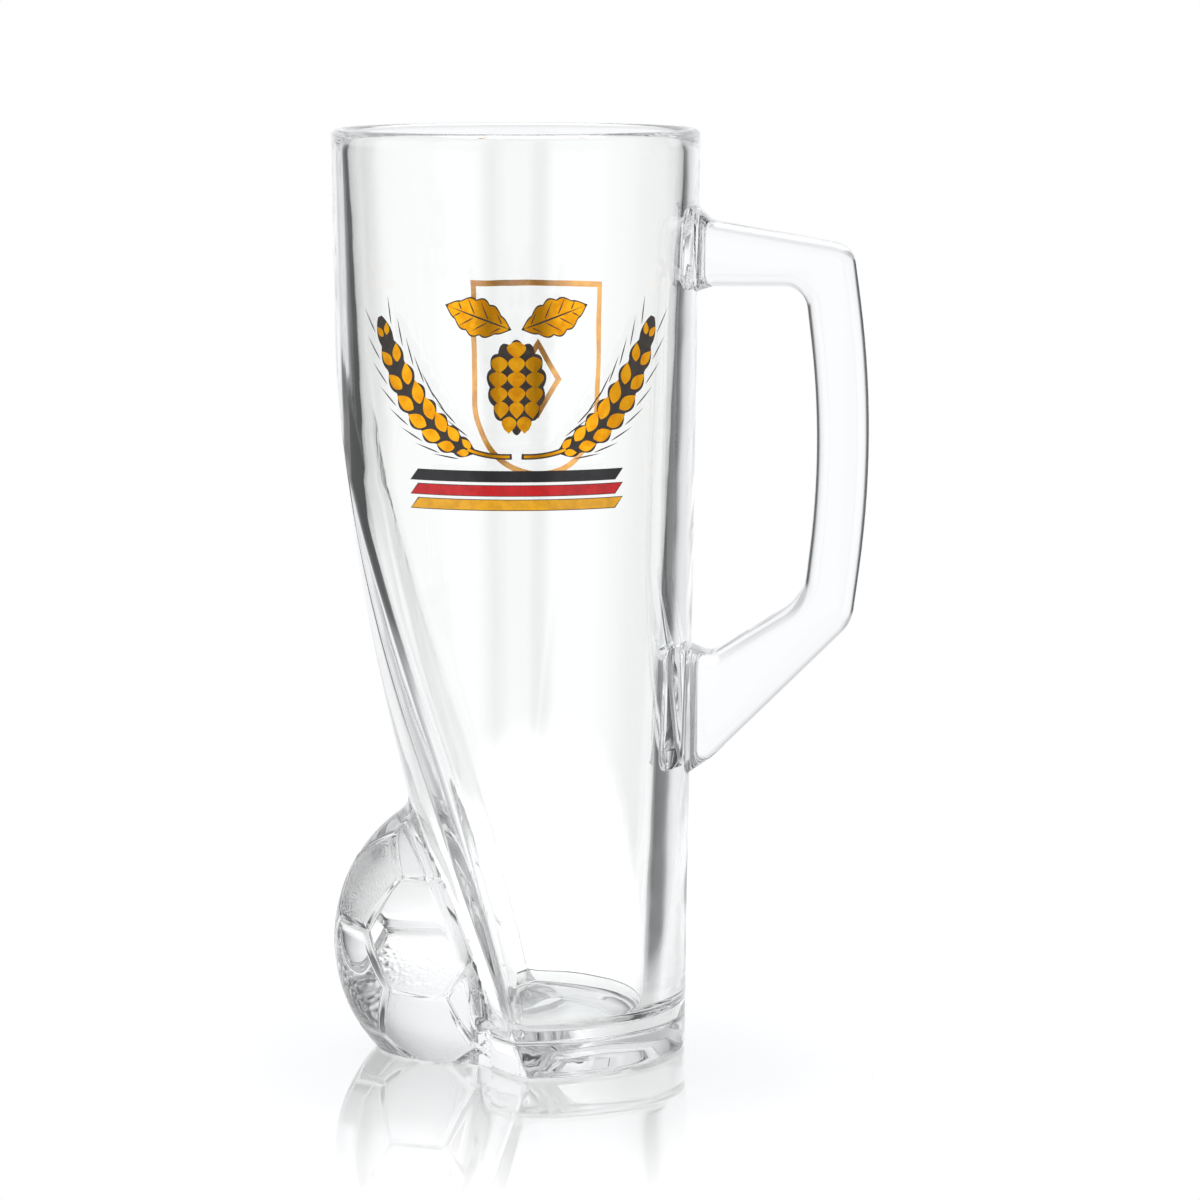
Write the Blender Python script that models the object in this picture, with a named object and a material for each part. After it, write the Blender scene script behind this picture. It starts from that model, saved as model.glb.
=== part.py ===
"""Beer mug of pressed glass with a football at its foot, an angular handle and fired prints.

Metres, +Z up. The origin is on the axis of the rim, at the level of the table.
The handle points to +X and the football to -X. The front print faces -Y.
"""

from math import acos, asin, ceil, cos, hypot, pi, radians, sin, sqrt, tan

import bmesh
import bpy
from mathutils import Matrix, Vector

# Clearance between pieces that touch
SEAM = 0.0003

# Glass body
HEIGHT = 0.200
RIM_RADIUS = 0.03975
BASE_RADIUS = 0.0366
RIM_WALL = 0.0033
BODY_FLOOR = 0.0026
CAVITY_FLOOR_RADIUS = 0.0274
CAVITY_FILLET = 0.006

# The side over the football sweeps in: a long arc that runs out straight, a flatter curve in plan
SWEEP_TOP = 0.182
SWEEP_RADIUS = 0.492
SWEEP_ARC = 0.1125
SWEEP_PLAN_RIM = 0.1255
SWEEP_PLAN_BASE = 0.0555
SWEPT_WALL_BASE = 0.0095
CAVITY_FLATNESS = 0.012

# Foot, with a hollow underneath that leaves a land to stand on
FOOT_HEIGHT = 0.0078
FOOT_CHAMFER = 0.0008
FOOT_GROOVE = 0.0007
UNDERSIDE_LAND = 0.0125
UNDERSIDE_HOLLOW = 0.0012

# Football
BALL_RADIUS = 0.0345
BALL_HALF_WIDTH = 0.0300
BALL_CENTRE_X = -0.0057
BALL_CENTRE_Z = 0.0236
PANEL_GROOVE_WIDTH = 0.0014
PANEL_GROOVE_DEPTH = 0.0005
UPPER_PENTAGON = Vector((-0.779, -0.447, 0.440))
LOWER_PENTAGON = Vector((-0.405, -0.774, -0.486))
PANEL_STEPS = 2

# Handle: drops below the rim, depths out from the rim's radius
HANDLE_THICKNESS = 0.013
HANDLE_EDGE = 0.003
HANDLE_DROP = 0.0196
ARM_HEIGHT = 0.0140
ARM_FALL = 0.0053
FINGER_DEPTH = 0.02235
GRIP_WIDTH = 0.0105
GRIP_BULGE = 0.0054
GRIP_CURVE = 0.220
GRIP_LENGTH = 0.0676
GRIP_OVERHANG = 0.0049
OPENING_BULGE = 0.0040
OPENING_CURVE = 0.190
LOWER_ARM_RISE = 0.0120
LOWER_ROOT_HEIGHT = 0.0255
ROOT_FILLET = 0.0030
ROOT_FLARE = 0.0012
OUTER_CORNER = 0.0050
OUTER_LOW_CORNER = 0.0090
INNER_CORNER = 0.0048
INNER_LOW_CORNER = 0.0105

# Prints: films on the outside, their middle height and turn towards the handle
FILM = 0.0002
FRONT_PRINT_Z = 0.1465
FRONT_PRINT_TURN = radians(3.0)
BACK_PRINT_Z = 0.142
BACK_PRINT_TURN = radians(5.0)
FILM_STEP = 0.004

EAR_STEM_WIDTH = 0.0012
EAR_STEM_SHARE = 0.22
EAR_WIDTH = 0.0080
EAR_GRAINS = 8
EAR_NOTCH = 0.38
EAR_ROOT = (0.0010, -0.0135)
EAR_BEND = (0.0210, -0.0145)
EAR_TIP = (0.0320, 0.0150)

HOP_WIDTH = 0.0140
HOP_HEIGHT = 0.0200
HOP_SCALES = 14
HOP_NOTCH = 0.10
HOP_TAPER = 0.22
HOP_CENTRE_V = 0.0010
LEAF_LENGTH = 0.0150
LEAF_WIDTH = 0.0085
LEAF_TEETH = 5
LEAF_NOTCH = 0.16
LEAF_LEAN = radians(20.0)
LEAF_GAP = 0.0020

STRIPE_LENGTH = 0.0480
STRIPE_HEIGHT = 0.0024
STRIPE_GAP = 0.0006
STRIPE_TOP_V = -0.0165
STRIPE_SLANT = 0.0020

SHIELD_WIDTH = 0.0330
SHIELD_HEIGHT = 0.0440
SHIELD_LINE = 0.0013
SHIELD_STEPS = 8
LOZENGE_WIDTH = 0.0120
LOZENGE_HEIGHT = 0.0180

# Facets of round stretches
ROUND_STEPS = 44
SWEPT_STEPS = 20
RING_STEPS = 13
LIP_STEPS = 6
FILLET_STEPS = 4
CORNER_STEPS = 4
SMOOTH_ANGLE = radians(30.0)

# Smallest half angle of the swept stretch, so that every ring has the same points
LEAST_SWEPT_ANGLE = radians(16.0)


def clear_scene():
    """Remove what an earlier run or a new file left behind."""
    for old in list(bpy.data.objects):
        bpy.data.objects.remove(old, do_unlink=True)


def principled(name, colour, roughness, metallic=0.0, transmission=0.0):
    """A plain material in the colour of the piece."""
    material = bpy.data.materials.new(name)
    material.use_nodes = True
    shader = material.node_tree.nodes["Principled BSDF"]
    shader.inputs["Base Color"].default_value = (*colour, 1.0)
    shader.inputs["Roughness"].default_value = roughness
    shader.inputs["Metallic"].default_value = metallic
    shader.inputs["Transmission Weight"].default_value = transmission
    material.diffuse_color = (*colour, 1.0)
    return material


def add_object(name, bm, material=None):
    """Turn a bmesh into a named object with outward faces."""
    bmesh.ops.recalc_face_normals(bm, faces=bm.faces)
    if bm.calc_volume(signed=True) < 0:
        bmesh.ops.reverse_faces(bm, faces=bm.faces)
    mesh = bpy.data.meshes.new(name)
    bm.to_mesh(mesh)
    bm.free()
    mesh.shade_smooth()
    mesh.set_sharp_from_angle(angle=SMOOTH_ANGLE)
    if material:
        mesh.materials.append(material)
    piece = bpy.data.objects.new(name, mesh)
    bpy.context.scene.collection.objects.link(piece)
    return piece


def cutter(piece):
    """Keep an object as a cutting tool only."""
    piece.hide_render = True
    piece.display_type = "WIRE"
    return piece


def cut(piece, tool):
    """Take one shape out of another."""
    modifier = piece.modifiers.new("cut_" + tool.name, "BOOLEAN")
    modifier.operation = "DIFFERENCE"
    modifier.solver = "EXACT"
    modifier.object = tool


def outer_radius(z):
    """Radius of the upright wall, which is drafted towards the base."""
    return BASE_RADIUS + (RIM_RADIUS - BASE_RADIUS) * z / HEIGHT


def swept_x(z):
    """Where the swept side is at a height: an arc that starts straight down and ends in a straight slope."""
    depth = min(max(SWEEP_TOP - z, 0.0), SWEEP_ARC)
    upright = sqrt(SWEEP_RADIUS ** 2 - depth ** 2)
    slope_length = max(SWEEP_TOP - SWEEP_ARC - z, 0.0)
    return -RIM_RADIUS + SWEEP_RADIUS - upright + slope_length * depth / upright


def plan_radius(z):
    """Radius of the swept side in plan, which gets rounder towards the table."""
    return SWEEP_PLAN_BASE + (SWEEP_PLAN_RIM - SWEEP_PLAN_BASE) * z / HEIGHT


def cavity_floor():
    """Height of the floor inside the mug."""
    return FOOT_HEIGHT + SEAM + BODY_FLOOR


def cavity_radius(z):
    """Radius of the drafted cavity."""
    share = (z - cavity_floor()) / (HEIGHT - cavity_floor())
    return CAVITY_FLOOR_RADIUS + (RIM_RADIUS - RIM_WALL - CAVITY_FLOOR_RADIUS) * share


def cavity_swept_x(z):
    """Where the cavity's swept side is: the wall thickens towards the base."""
    wall = RIM_WALL + (SWEPT_WALL_BASE - RIM_WALL) * (HEIGHT - z) / HEIGHT
    return swept_x(z) + wall


def ring(radius, side_x, side_radius, z):
    """Points around the upright circle, cut by a flatter circle whose end is at side_x."""
    side_x = max(side_x, -radius)
    centre = side_x + side_radius
    crease_x = max((radius ** 2 - side_radius ** 2 + centre ** 2) / (2 * centre), -radius)
    half = max(acos(-crease_x / radius), LEAST_SWEPT_ANGLE)
    points = []
    for i in range(ROUND_STEPS + 1):
        angle = (pi - half) * (2 * i / ROUND_STEPS - 1)
        points.append(Vector((radius * cos(angle), radius * sin(angle), z)))
    spread = asin(radius * sin(half) / side_radius)
    for i in range(1, SWEPT_STEPS):
        y = side_radius * sin(spread * (1 - 2 * i / SWEPT_STEPS))
        round_x = -sqrt(radius ** 2 - y ** 2)
        points.append(Vector((max(round_x, centre - sqrt(side_radius ** 2 - y ** 2)), y, z)))
    return points


def outer_ring(z, grow=0.0):
    """Ring of the outside, grown or shrunk square to itself."""
    return ring(outer_radius(z) + grow, swept_x(z) - grow, plan_radius(z) + grow, z)


def cavity_ring(z, shrink=0.0):
    """Ring of the cavity, shrunk where its floor is rounded."""
    side_radius = RIM_RADIUS - RIM_WALL + CAVITY_FLATNESS - shrink
    return ring(cavity_radius(z) - shrink, cavity_swept_x(z) + shrink, side_radius, z)


def loft(rings):
    """Closed skin over a row of rings that have the same number of points."""
    bm = bmesh.new()
    rows = [[bm.verts.new(point) for point in points] for points in rings]
    count = len(rows[0])
    for low, high in zip(rows, rows[1:]):
        for i in range(count):
            j = (i + 1) % count
            bm.faces.new((low[i], low[j], high[j], high[i]))
    bm.faces.new(rows[0])
    bm.faces.new(rows[-1])
    return bm


def steps(low, high, count):
    """Evenly spaced values, both ends included."""
    return [low + (high - low) * i / count for i in range(count + 1)]


def make_body(glass):
    """Vessel: outside up, over the lip, and down the cavity to its rounded floor."""
    lip = RIM_WALL / 2
    shoulder = HEIGHT - lip
    bottom = FOOT_HEIGHT + SEAM
    rings = [outer_ring(bottom, -FOOT_GROOVE)]
    rings += [outer_ring(z) for z in steps(bottom + FOOT_GROOVE, shoulder, RING_STEPS)]
    for i in range(1, LIP_STEPS):
        angle = pi * i / LIP_STEPS
        radius = RIM_RADIUS - lip + lip * cos(angle)
        rings.append(ring(radius, -radius, plan_radius(HEIGHT), shoulder + lip * sin(angle)))
    fillet_top = cavity_floor() + CAVITY_FILLET
    rings += [cavity_ring(z) for z in reversed(steps(fillet_top, shoulder, RING_STEPS))]
    for i in range(1, FILLET_STEPS + 1):
        angle = pi / 2 * i / FILLET_STEPS
        z = fillet_top - CAVITY_FILLET * sin(angle)
        rings.append(cavity_ring(z, CAVITY_FILLET * (1 - cos(angle))))
    return add_object("glass_body", loft(rings), glass)


def make_foot(glass):
    """Slab under the vessel, with a hollow underside, a chamfer and half of the fine groove."""
    hollow_slope = UNDERSIDE_HOLLOW
    rings = [
        [point + Vector((0, 0, UNDERSIDE_HOLLOW)) for point in outer_ring(0, -UNDERSIDE_LAND - hollow_slope)],
        outer_ring(0, -UNDERSIDE_LAND),
        outer_ring(0, -FOOT_CHAMFER),
        outer_ring(FOOT_CHAMFER),
        outer_ring(FOOT_HEIGHT - FOOT_GROOVE),
        outer_ring(FOOT_HEIGHT, -FOOT_GROOVE),
    ]
    return add_object("foot", loft(rings), glass)


def make_clearance():
    """The outside of body and foot grown by the seam, to fit the football and the handle to it."""
    rings = [outer_ring(z, SEAM) for z in steps(-CAVITY_FILLET, HEIGHT, RING_STEPS + 1)]
    return cutter(add_object("body_clearance", loft(rings)))


def turn_between(first, second, first_goal, second_goal):
    """Rotation that takes one pair of directions onto another pair."""
    def frame(a, b):
        across = a.cross(b).normalized()
        along = a.normalized()
        return Matrix((along, across.cross(along), across)).transposed()

    return frame(first_goal, second_goal) @ frame(first, second).transposed()


def make_football(glass, clearance):
    """Ball of pentagons and hexagons with sunk seams, flat underneath and fitted to the swept side."""
    bm = bmesh.new()
    bmesh.ops.create_icosphere(bm, subdivisions=1, radius=1.0)
    corner = bm.verts[:][0]
    first = corner.co.copy()
    second = corner.link_edges[0].other_vert(corner).co.copy()
    bmesh.ops.bevel(
        bm, geom=bm.verts[:], offset=100 / 3, offset_type="PERCENT", affect="VERTICES",
        segments=1, profile=0.5, material=-1, clamp_overlap=False,
    )
    bmesh.ops.remove_doubles(bm, verts=bm.verts[:], dist=0.001)
    sunk = bm.verts.layers.float.new("sunk")
    for vert in bm.verts:
        vert[sunk] = 1.0
    panels = bm.faces[:]
    bmesh.ops.inset_individual(
        bm, faces=panels, thickness=PANEL_GROOVE_WIDTH / 2 / BALL_RADIUS, use_even_offset=True,
    )
    for panel in panels:
        for vert in panel.verts:
            vert[sunk] = 0.0
    bmesh.ops.poke(bm, faces=panels)
    long_edges = [edge for edge in bm.edges if edge.calc_length() > 2 * PANEL_GROOVE_WIDTH / BALL_RADIUS]
    bmesh.ops.subdivide_edges(bm, edges=long_edges, cuts=PANEL_STEPS, use_grid_fill=True)
    turn = turn_between(first, second, UPPER_PENTAGON, LOWER_PENTAGON)
    centre = Vector((BALL_CENTRE_X, 0, BALL_CENTRE_Z))
    for vert in bm.verts:
        outward = turn @ vert.co.normalized()
        outward.y *= BALL_HALF_WIDTH / BALL_RADIUS
        vert.co = centre + outward * (BALL_RADIUS - PANEL_GROOVE_DEPTH * vert[sunk])
    ball = add_object("football", bm, glass)

    table = bmesh.new()
    size = 4 * BALL_RADIUS
    place = Matrix.Translation((centre.x, 0, -size / 2)) @ Matrix.Scale(size, 4)
    bmesh.ops.create_cube(table, size=1.0, matrix=place)
    cut(ball, cutter(add_object("table_level", table)))
    cut(ball, clearance)
    return ball


def rounded(corners):
    """Outline through corners (x, z, radius), each rounded by an arc that fits its two sides."""
    outline = []
    count = len(corners)
    for i, (x, z, radius) in enumerate(corners):
        corner = Vector((x, z))
        before = (Vector(corners[i - 1][:2]) - corner).normalized()
        after = (Vector(corners[(i + 1) % count][:2]) - corner).normalized()
        if radius <= 0:
            outline.append(corner)
            continue
        half = acos(max(-1.0, min(1.0, before.dot(after)))) / 2
        reach = radius / tan(half)
        middle = corner + (before + after).normalized() * radius / sin(half)
        start = corner + before * reach - middle
        sweep = start.angle_signed(corner + after * reach - middle)
        for k in range(CORNER_STEPS + 1):
            angle = -sweep * k / CORNER_STEPS
            outline.append(middle + Matrix.Rotation(angle, 2) @ start)
    return outline


def handle_corners():
    """Corners of the handle's flat outline, with the root ends inside the body."""
    top = HEIGHT - HANDLE_DROP
    arm_under = top - ARM_HEIGHT
    grip_in = RIM_RADIUS + FINGER_DEPTH
    grip_out = grip_in + GRIP_WIDTH
    grip_top = top - ARM_FALL
    grip_low = arm_under - GRIP_LENGTH
    outer_low = grip_low - GRIP_OVERHANG
    belly = (grip_top + outer_low) / 2
    opening_belly = (arm_under + grip_low) / 2
    root_low = grip_low - LOWER_ARM_RISE
    root_end = root_low - LOWER_ROOT_HEIGHT
    wall = outer_radius(top)
    inside = min(BASE_RADIUS, wall - ROOT_FLARE) - RIM_WALL
    return [
        (inside, top + ROOT_FILLET, 0),
        (wall, top + ROOT_FILLET, 0),
        (wall + ROOT_FILLET, top, ROOT_FILLET),
        (grip_out, grip_top, OUTER_CORNER),
        (grip_out + GRIP_BULGE, belly, GRIP_CURVE),
        (grip_out, outer_low, OUTER_LOW_CORNER),
        (wall + ROOT_FILLET, root_end + ROOT_FILLET, ROOT_FILLET),
        (inside, root_end - ROOT_FILLET, 0),
        (inside, root_low + ROOT_FILLET, 0),
        (wall + ROOT_FILLET, root_low, ROOT_FILLET),
        (grip_in, grip_low, INNER_LOW_CORNER),
        (grip_in + OPENING_BULGE, opening_belly, OPENING_CURVE),
        (grip_in, arm_under, INNER_CORNER),
        (wall + ROOT_FILLET, arm_under, ROOT_FILLET),
        (inside, arm_under - ROOT_FILLET, 0),
    ]


def make_handle(glass, clearance):
    """Flat bar bent around the finger opening, with rounded edges and flared roots."""
    outline = rounded(handle_corners())
    bm = bmesh.new()
    flat = bm.faces.new([bm.verts.new((p.x, -HANDLE_THICKNESS / 2, p.y)) for p in outline])
    grown = bmesh.ops.extrude_face_region(bm, geom=[flat])
    moved = [item for item in grown["geom"] if isinstance(item, bmesh.types.BMVert)]
    bmesh.ops.translate(bm, verts=moved, vec=(0, HANDLE_THICKNESS, 0))
    bmesh.ops.recalc_face_normals(bm, faces=bm.faces)
    rim = [edge for edge in bm.edges if abs(edge.verts[0].co.y - edge.verts[1].co.y) < SEAM]
    bmesh.ops.bevel(
        bm, geom=rim, offset=HANDLE_EDGE, affect="EDGES", segments=3, profile=0.5,
        material=-1, clamp_overlap=True,
    )
    for vert in bm.verts:
        wall = outer_radius(vert.co.z)
        closeness = max(0.0, 1 - max(0.0, vert.co.x - wall) / ROOT_FILLET)
        vert.co.y *= 1 + 2 * ROOT_FLARE / HANDLE_THICKNESS * closeness ** 2
    handle = add_object("handle", bm, glass)
    cut(handle, clearance)
    return handle


def make_film(name, outlines, side, middle_z, turn, material):
    """Film of colour: flat outlines filled, sliced, thickened and laid around the glass.

    side is -1 on the front and 1 on the back. The first outline is the edge, any others are holes.
    """
    bm = bmesh.new()
    for outline in outlines:
        verts = [bm.verts.new((u, v, 0)) for u, v in outline]
        for a, b in zip(verts, verts[1:] + verts[:1]):
            bm.edges.new((a, b))
    bmesh.ops.triangle_fill(bm, use_beauty=True, use_dissolve=False, edges=bm.edges[:], normal=(0, 0, 1))
    left = min(vert.co.x for vert in bm.verts)
    right = max(vert.co.x for vert in bm.verts)
    slices = ceil((right - left) / FILM_STEP)
    for i in range(1, slices):
        place = (left + (right - left) * i / slices, 0, 0)
        everything = bm.verts[:] + bm.edges[:] + bm.faces[:]
        bmesh.ops.bisect_plane(bm, geom=everything, plane_co=place, plane_no=(1, 0, 0), dist=1e-6)
    grown = bmesh.ops.extrude_face_region(bm, geom=bm.faces[:])
    moved = [item for item in grown["geom"] if isinstance(item, bmesh.types.BMVert)]
    bmesh.ops.translate(bm, verts=moved, vec=(0, 0, FILM))
    around = outer_radius(middle_z)
    for vert in bm.verts:
        u, v, lift = vert.co
        angle = turn - side * u / around
        z = middle_z + v
        radius = outer_radius(z) + SEAM + lift
        vert.co = Vector((radius * sin(angle), side * radius * cos(angle), z))
    return add_object(name, bm, material)


def ear_outline(way):
    """Ear of barley on a bent stem: way is -1 to the left and 1 to the right."""
    root, bend, tip = Vector(EAR_ROOT), Vector(EAR_BEND), Vector(EAR_TIP)
    stations = 5 * EAR_GRAINS
    sides = ([], [])
    for i in range(stations + 1):
        t = i / stations
        middle = root * (1 - t) ** 2 + bend * 2 * t * (1 - t) + tip * t ** 2
        along = ((bend - root) * (1 - t) + (tip - bend) * t).normalized()
        across = Vector((-along.y, along.x))
        half = EAR_STEM_WIDTH / 2
        if t > EAR_STEM_SHARE:
            s = (t - EAR_STEM_SHARE) / (1 - EAR_STEM_SHARE)
            notch = 1 - EAR_NOTCH * (1 - abs(sin(pi * EAR_GRAINS * s)))
            half += (EAR_WIDTH - EAR_STEM_WIDTH) / 2 * sqrt(max(0.0, sin(pi * s))) * notch
        sides[0].append(middle + across * half)
        sides[1].append(middle - across * half)
    outline = sides[0] + list(reversed(sides[1]))
    return [(way * point.x, point.y) for point in outline]


def hop_outline():
    """Hop cone: an egg with scalloped edges."""
    count = 4 * HOP_SCALES
    outline = []
    for i in range(count):
        angle = 2 * pi * i / count
        scallop = 1 - HOP_NOTCH * (1 - abs(sin(HOP_SCALES * angle / 2)))
        narrow = 1 - HOP_TAPER * (1 - sin(angle)) / 2
        u = HOP_WIDTH / 2 * cos(angle) * scallop * narrow
        v = HOP_CENTRE_V + HOP_HEIGHT / 2 * sin(angle) * scallop
        outline.append((u, v))
    return outline


def leaf_outline(way):
    """Toothed leaf that grows from the hop's top: way is -1 to the left and 1 to the right."""
    base = Vector((LEAF_GAP / 2, HOP_CENTRE_V + HOP_HEIGHT / 2 + LEAF_GAP))
    along = Vector((cos(LEAF_LEAN), sin(LEAF_LEAN)))
    across = Vector((-along.y, along.x))
    stations = 4 * LEAF_TEETH
    upper, lower = [], []
    for i in range(1, stations):
        t = i / stations
        notch = 1 - LEAF_NOTCH * (1 - abs(sin(pi * LEAF_TEETH * t)))
        half = LEAF_WIDTH / 2 * sin(pi * t) * notch
        upper.append(base + along * LEAF_LENGTH * t + across * half)
        lower.append(base + along * LEAF_LENGTH * t - across * half)
    outline = [base] + upper + [base + along * LEAF_LENGTH] + list(reversed(lower))
    return [(way * point.x, point.y) for point in outline]


def stripe_outline(row):
    """One plain stripe with slanted ends, counted from the top."""
    top = STRIPE_TOP_V - row * (STRIPE_HEIGHT + STRIPE_GAP)
    low = top - STRIPE_HEIGHT
    half = STRIPE_LENGTH / 2
    return [(-half, low), (half - STRIPE_SLANT, low), (half, top), (STRIPE_SLANT - half, top)]


def shield_outline(inset):
    """Plain shield: straight top and sides, and a bow that comes to a point below."""
    half = SHIELD_WIDTH / 2 - inset
    top = SHIELD_HEIGHT / 2 - inset
    waist = -SHIELD_HEIGHT / 10
    point = inset - SHIELD_HEIGHT / 2
    right = []
    for i in range(SHIELD_STEPS):
        angle = pi / 2 * i / SHIELD_STEPS
        right.append((half * cos(angle), waist + (point - waist) * sin(angle)))
    left = [(-u, v) for u, v in reversed(right)]
    return [(-half, top), (half, top)] + right + [(0, point)] + left


def lozenge_outline(inset):
    """Upright lozenge in the middle of the shield."""
    slope = hypot(LOZENGE_WIDTH, LOZENGE_HEIGHT)
    half_u = LOZENGE_WIDTH / 2 - inset * slope / LOZENGE_HEIGHT
    half_v = LOZENGE_HEIGHT / 2 - inset * slope / LOZENGE_WIDTH
    return [(half_u, 0), (0, half_v), (-half_u, 0), (0, -half_v)]


def make_prints():
    """Front design of barley, hop and stripes, and the thin outline on the back."""
    gold = principled("fired_gold", (0.62, 0.34, 0.06), 0.22, metallic=1.0)
    black = principled("black_enamel", (0.012, 0.012, 0.014), 0.3)
    red = principled("red_enamel", (0.55, 0.02, 0.02), 0.3)
    yellow = principled("yellow_enamel", (0.85, 0.48, 0.03), 0.3)
    front = [
        ("ear_left", ear_outline(-1), gold),
        ("ear_right", ear_outline(1), gold),
        ("hop_cone", hop_outline(), gold),
        ("leaf_left", leaf_outline(-1), gold),
        ("leaf_right", leaf_outline(1), gold),
        ("stripe_black", stripe_outline(0), black),
        ("stripe_red", stripe_outline(1), red),
        ("stripe_gold", stripe_outline(2), yellow),
    ]
    for name, outline, material in front:
        make_film(name, [outline], -1, FRONT_PRINT_Z, FRONT_PRINT_TURN, material)
    back = [
        ("back_shield", [shield_outline(0), shield_outline(SHIELD_LINE)]),
        ("back_lozenge", [lozenge_outline(0), lozenge_outline(SHIELD_LINE)]),
    ]
    for name, outlines in back:
        make_film(name, outlines, 1, BACK_PRINT_Z, BACK_PRINT_TURN, gold)


def main():
    clear_scene()
    glass = principled("clear_glass", (0.92, 0.96, 0.94), 0.02, transmission=1.0)
    clearance = make_clearance()
    make_body(glass)
    make_foot(glass)
    make_football(glass, clearance)
    make_handle(glass, clearance)
    make_prints()


main()
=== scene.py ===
"""Dresses the football mug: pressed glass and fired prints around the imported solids, and a stage.

Metres, +Z up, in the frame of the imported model. The handle points to +X, the football to -X and
the front print to -Y.
"""

from math import acos, asin, cos, hypot, pi, radians, sin, sqrt, tan

import bmesh
import bpy
from bpy.props import FloatProperty, FloatVectorProperty, IntProperty, PointerProperty
from mathutils import Matrix, Vector


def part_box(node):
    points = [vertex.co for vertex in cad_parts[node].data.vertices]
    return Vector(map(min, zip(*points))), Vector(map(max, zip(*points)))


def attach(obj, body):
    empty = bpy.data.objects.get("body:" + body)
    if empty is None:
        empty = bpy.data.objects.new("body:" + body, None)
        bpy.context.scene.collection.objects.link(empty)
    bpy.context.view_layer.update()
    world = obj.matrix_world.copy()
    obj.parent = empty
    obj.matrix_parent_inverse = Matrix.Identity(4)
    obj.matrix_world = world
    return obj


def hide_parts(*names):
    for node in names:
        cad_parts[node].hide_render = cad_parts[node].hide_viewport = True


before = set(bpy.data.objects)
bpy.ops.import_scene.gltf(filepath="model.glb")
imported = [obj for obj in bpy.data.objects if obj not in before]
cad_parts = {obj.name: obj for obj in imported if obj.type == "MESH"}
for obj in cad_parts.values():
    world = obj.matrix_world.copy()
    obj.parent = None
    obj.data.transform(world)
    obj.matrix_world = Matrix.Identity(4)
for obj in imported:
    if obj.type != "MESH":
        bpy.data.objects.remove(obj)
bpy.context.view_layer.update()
BODY_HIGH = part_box("glass_body")[1]
FOOT_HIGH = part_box("foot")[1]

bl_info = {
    "name": "Football mug",
    "version": (1, 0, 0),
    "blender": (4, 5, 0),
    "location": "3D View > Sidebar > Mug",
    "description": "Pressed glass mug with a football foot, an angular handle and fired prints",
    "category": "Object",
}

# Facets of round stretches
ROUND_STEPS = 150
SWEPT_STEPS = 64
CREASE_STEPS = 5
WALL_STEPS = 64
LIP_STEPS = 14
FILLET_STEPS = 10
EDGE_STEPS = 5
CORNER_STEPS = 14
HANDLE_EDGE_STEPS = 7
ROOT_CUTS = 7
PANEL_STEPS = 16
BOTTOM_STEPS = 3
BLADE_STEPS = 18
FLOOR_STEPS = 96

# Smallest half angle of the swept stretch, so that every ring has the same points
LEAST_SWEPT_ANGLE = radians(16.0)

# How far under the swept side the football's fillet still spreads its points
ROOT_REACH = 0.006

# Edges sharper than this stay sharp
SMOOTH_ANGLE = radians(38.0)

# How far the fitted seams reach into the glass, and how far a fitting tool runs past the object
SEAM_DEPTH = 0.00015
TOOL_MARGIN = 0.004

# Points this near to a cutting plane lie in it
CUT_REACH = 1e-7

# Layers of a print above the glass: ink, metal on the ink, and lines on the metal
INK_LAYER = (0.000010, 0.000030)
METAL_LAYER = (0.000032, 0.000060)
LINE_LAYER = (0.000062, 0.000075)
FILM_STEP = 0.0012

# Places of a print's materials
INK, METAL = 0, 1

# The two like sides of the front print
SIDES = (("left", -1), ("right", 1))


def length(name, description, default):
    """A size that a user may change."""
    return FloatProperty(
        name=name, description=description, default=default, unit="LENGTH", precision=5,
    )


def turn(name, description, degrees):
    """An angle that a user may change."""
    return FloatProperty(
        name=name, description=description, default=radians(degrees), subtype="ANGLE",
    )


def portion(name, description, default, most=1.0):
    """A share of a whole that a user may change."""
    return FloatProperty(
        name=name, description=description, default=default, min=0.0, max=most, subtype="FACTOR",
    )


def repeats(name, description, default, least, most):
    """A number of like shapes that a user may change."""
    return IntProperty(name=name, description=description, default=default, min=least, max=most)


def colour(name, description, default):
    """A colour that a user may change."""
    return FloatVectorProperty(
        name=name, description=description, default=default, subtype="COLOR", min=0.0, max=1.0,
    )


def heading(name, description, default):
    """A direction that a user may change."""
    return FloatVectorProperty(
        name=name, description=description, default=default, subtype="DIRECTION",
    )


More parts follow.
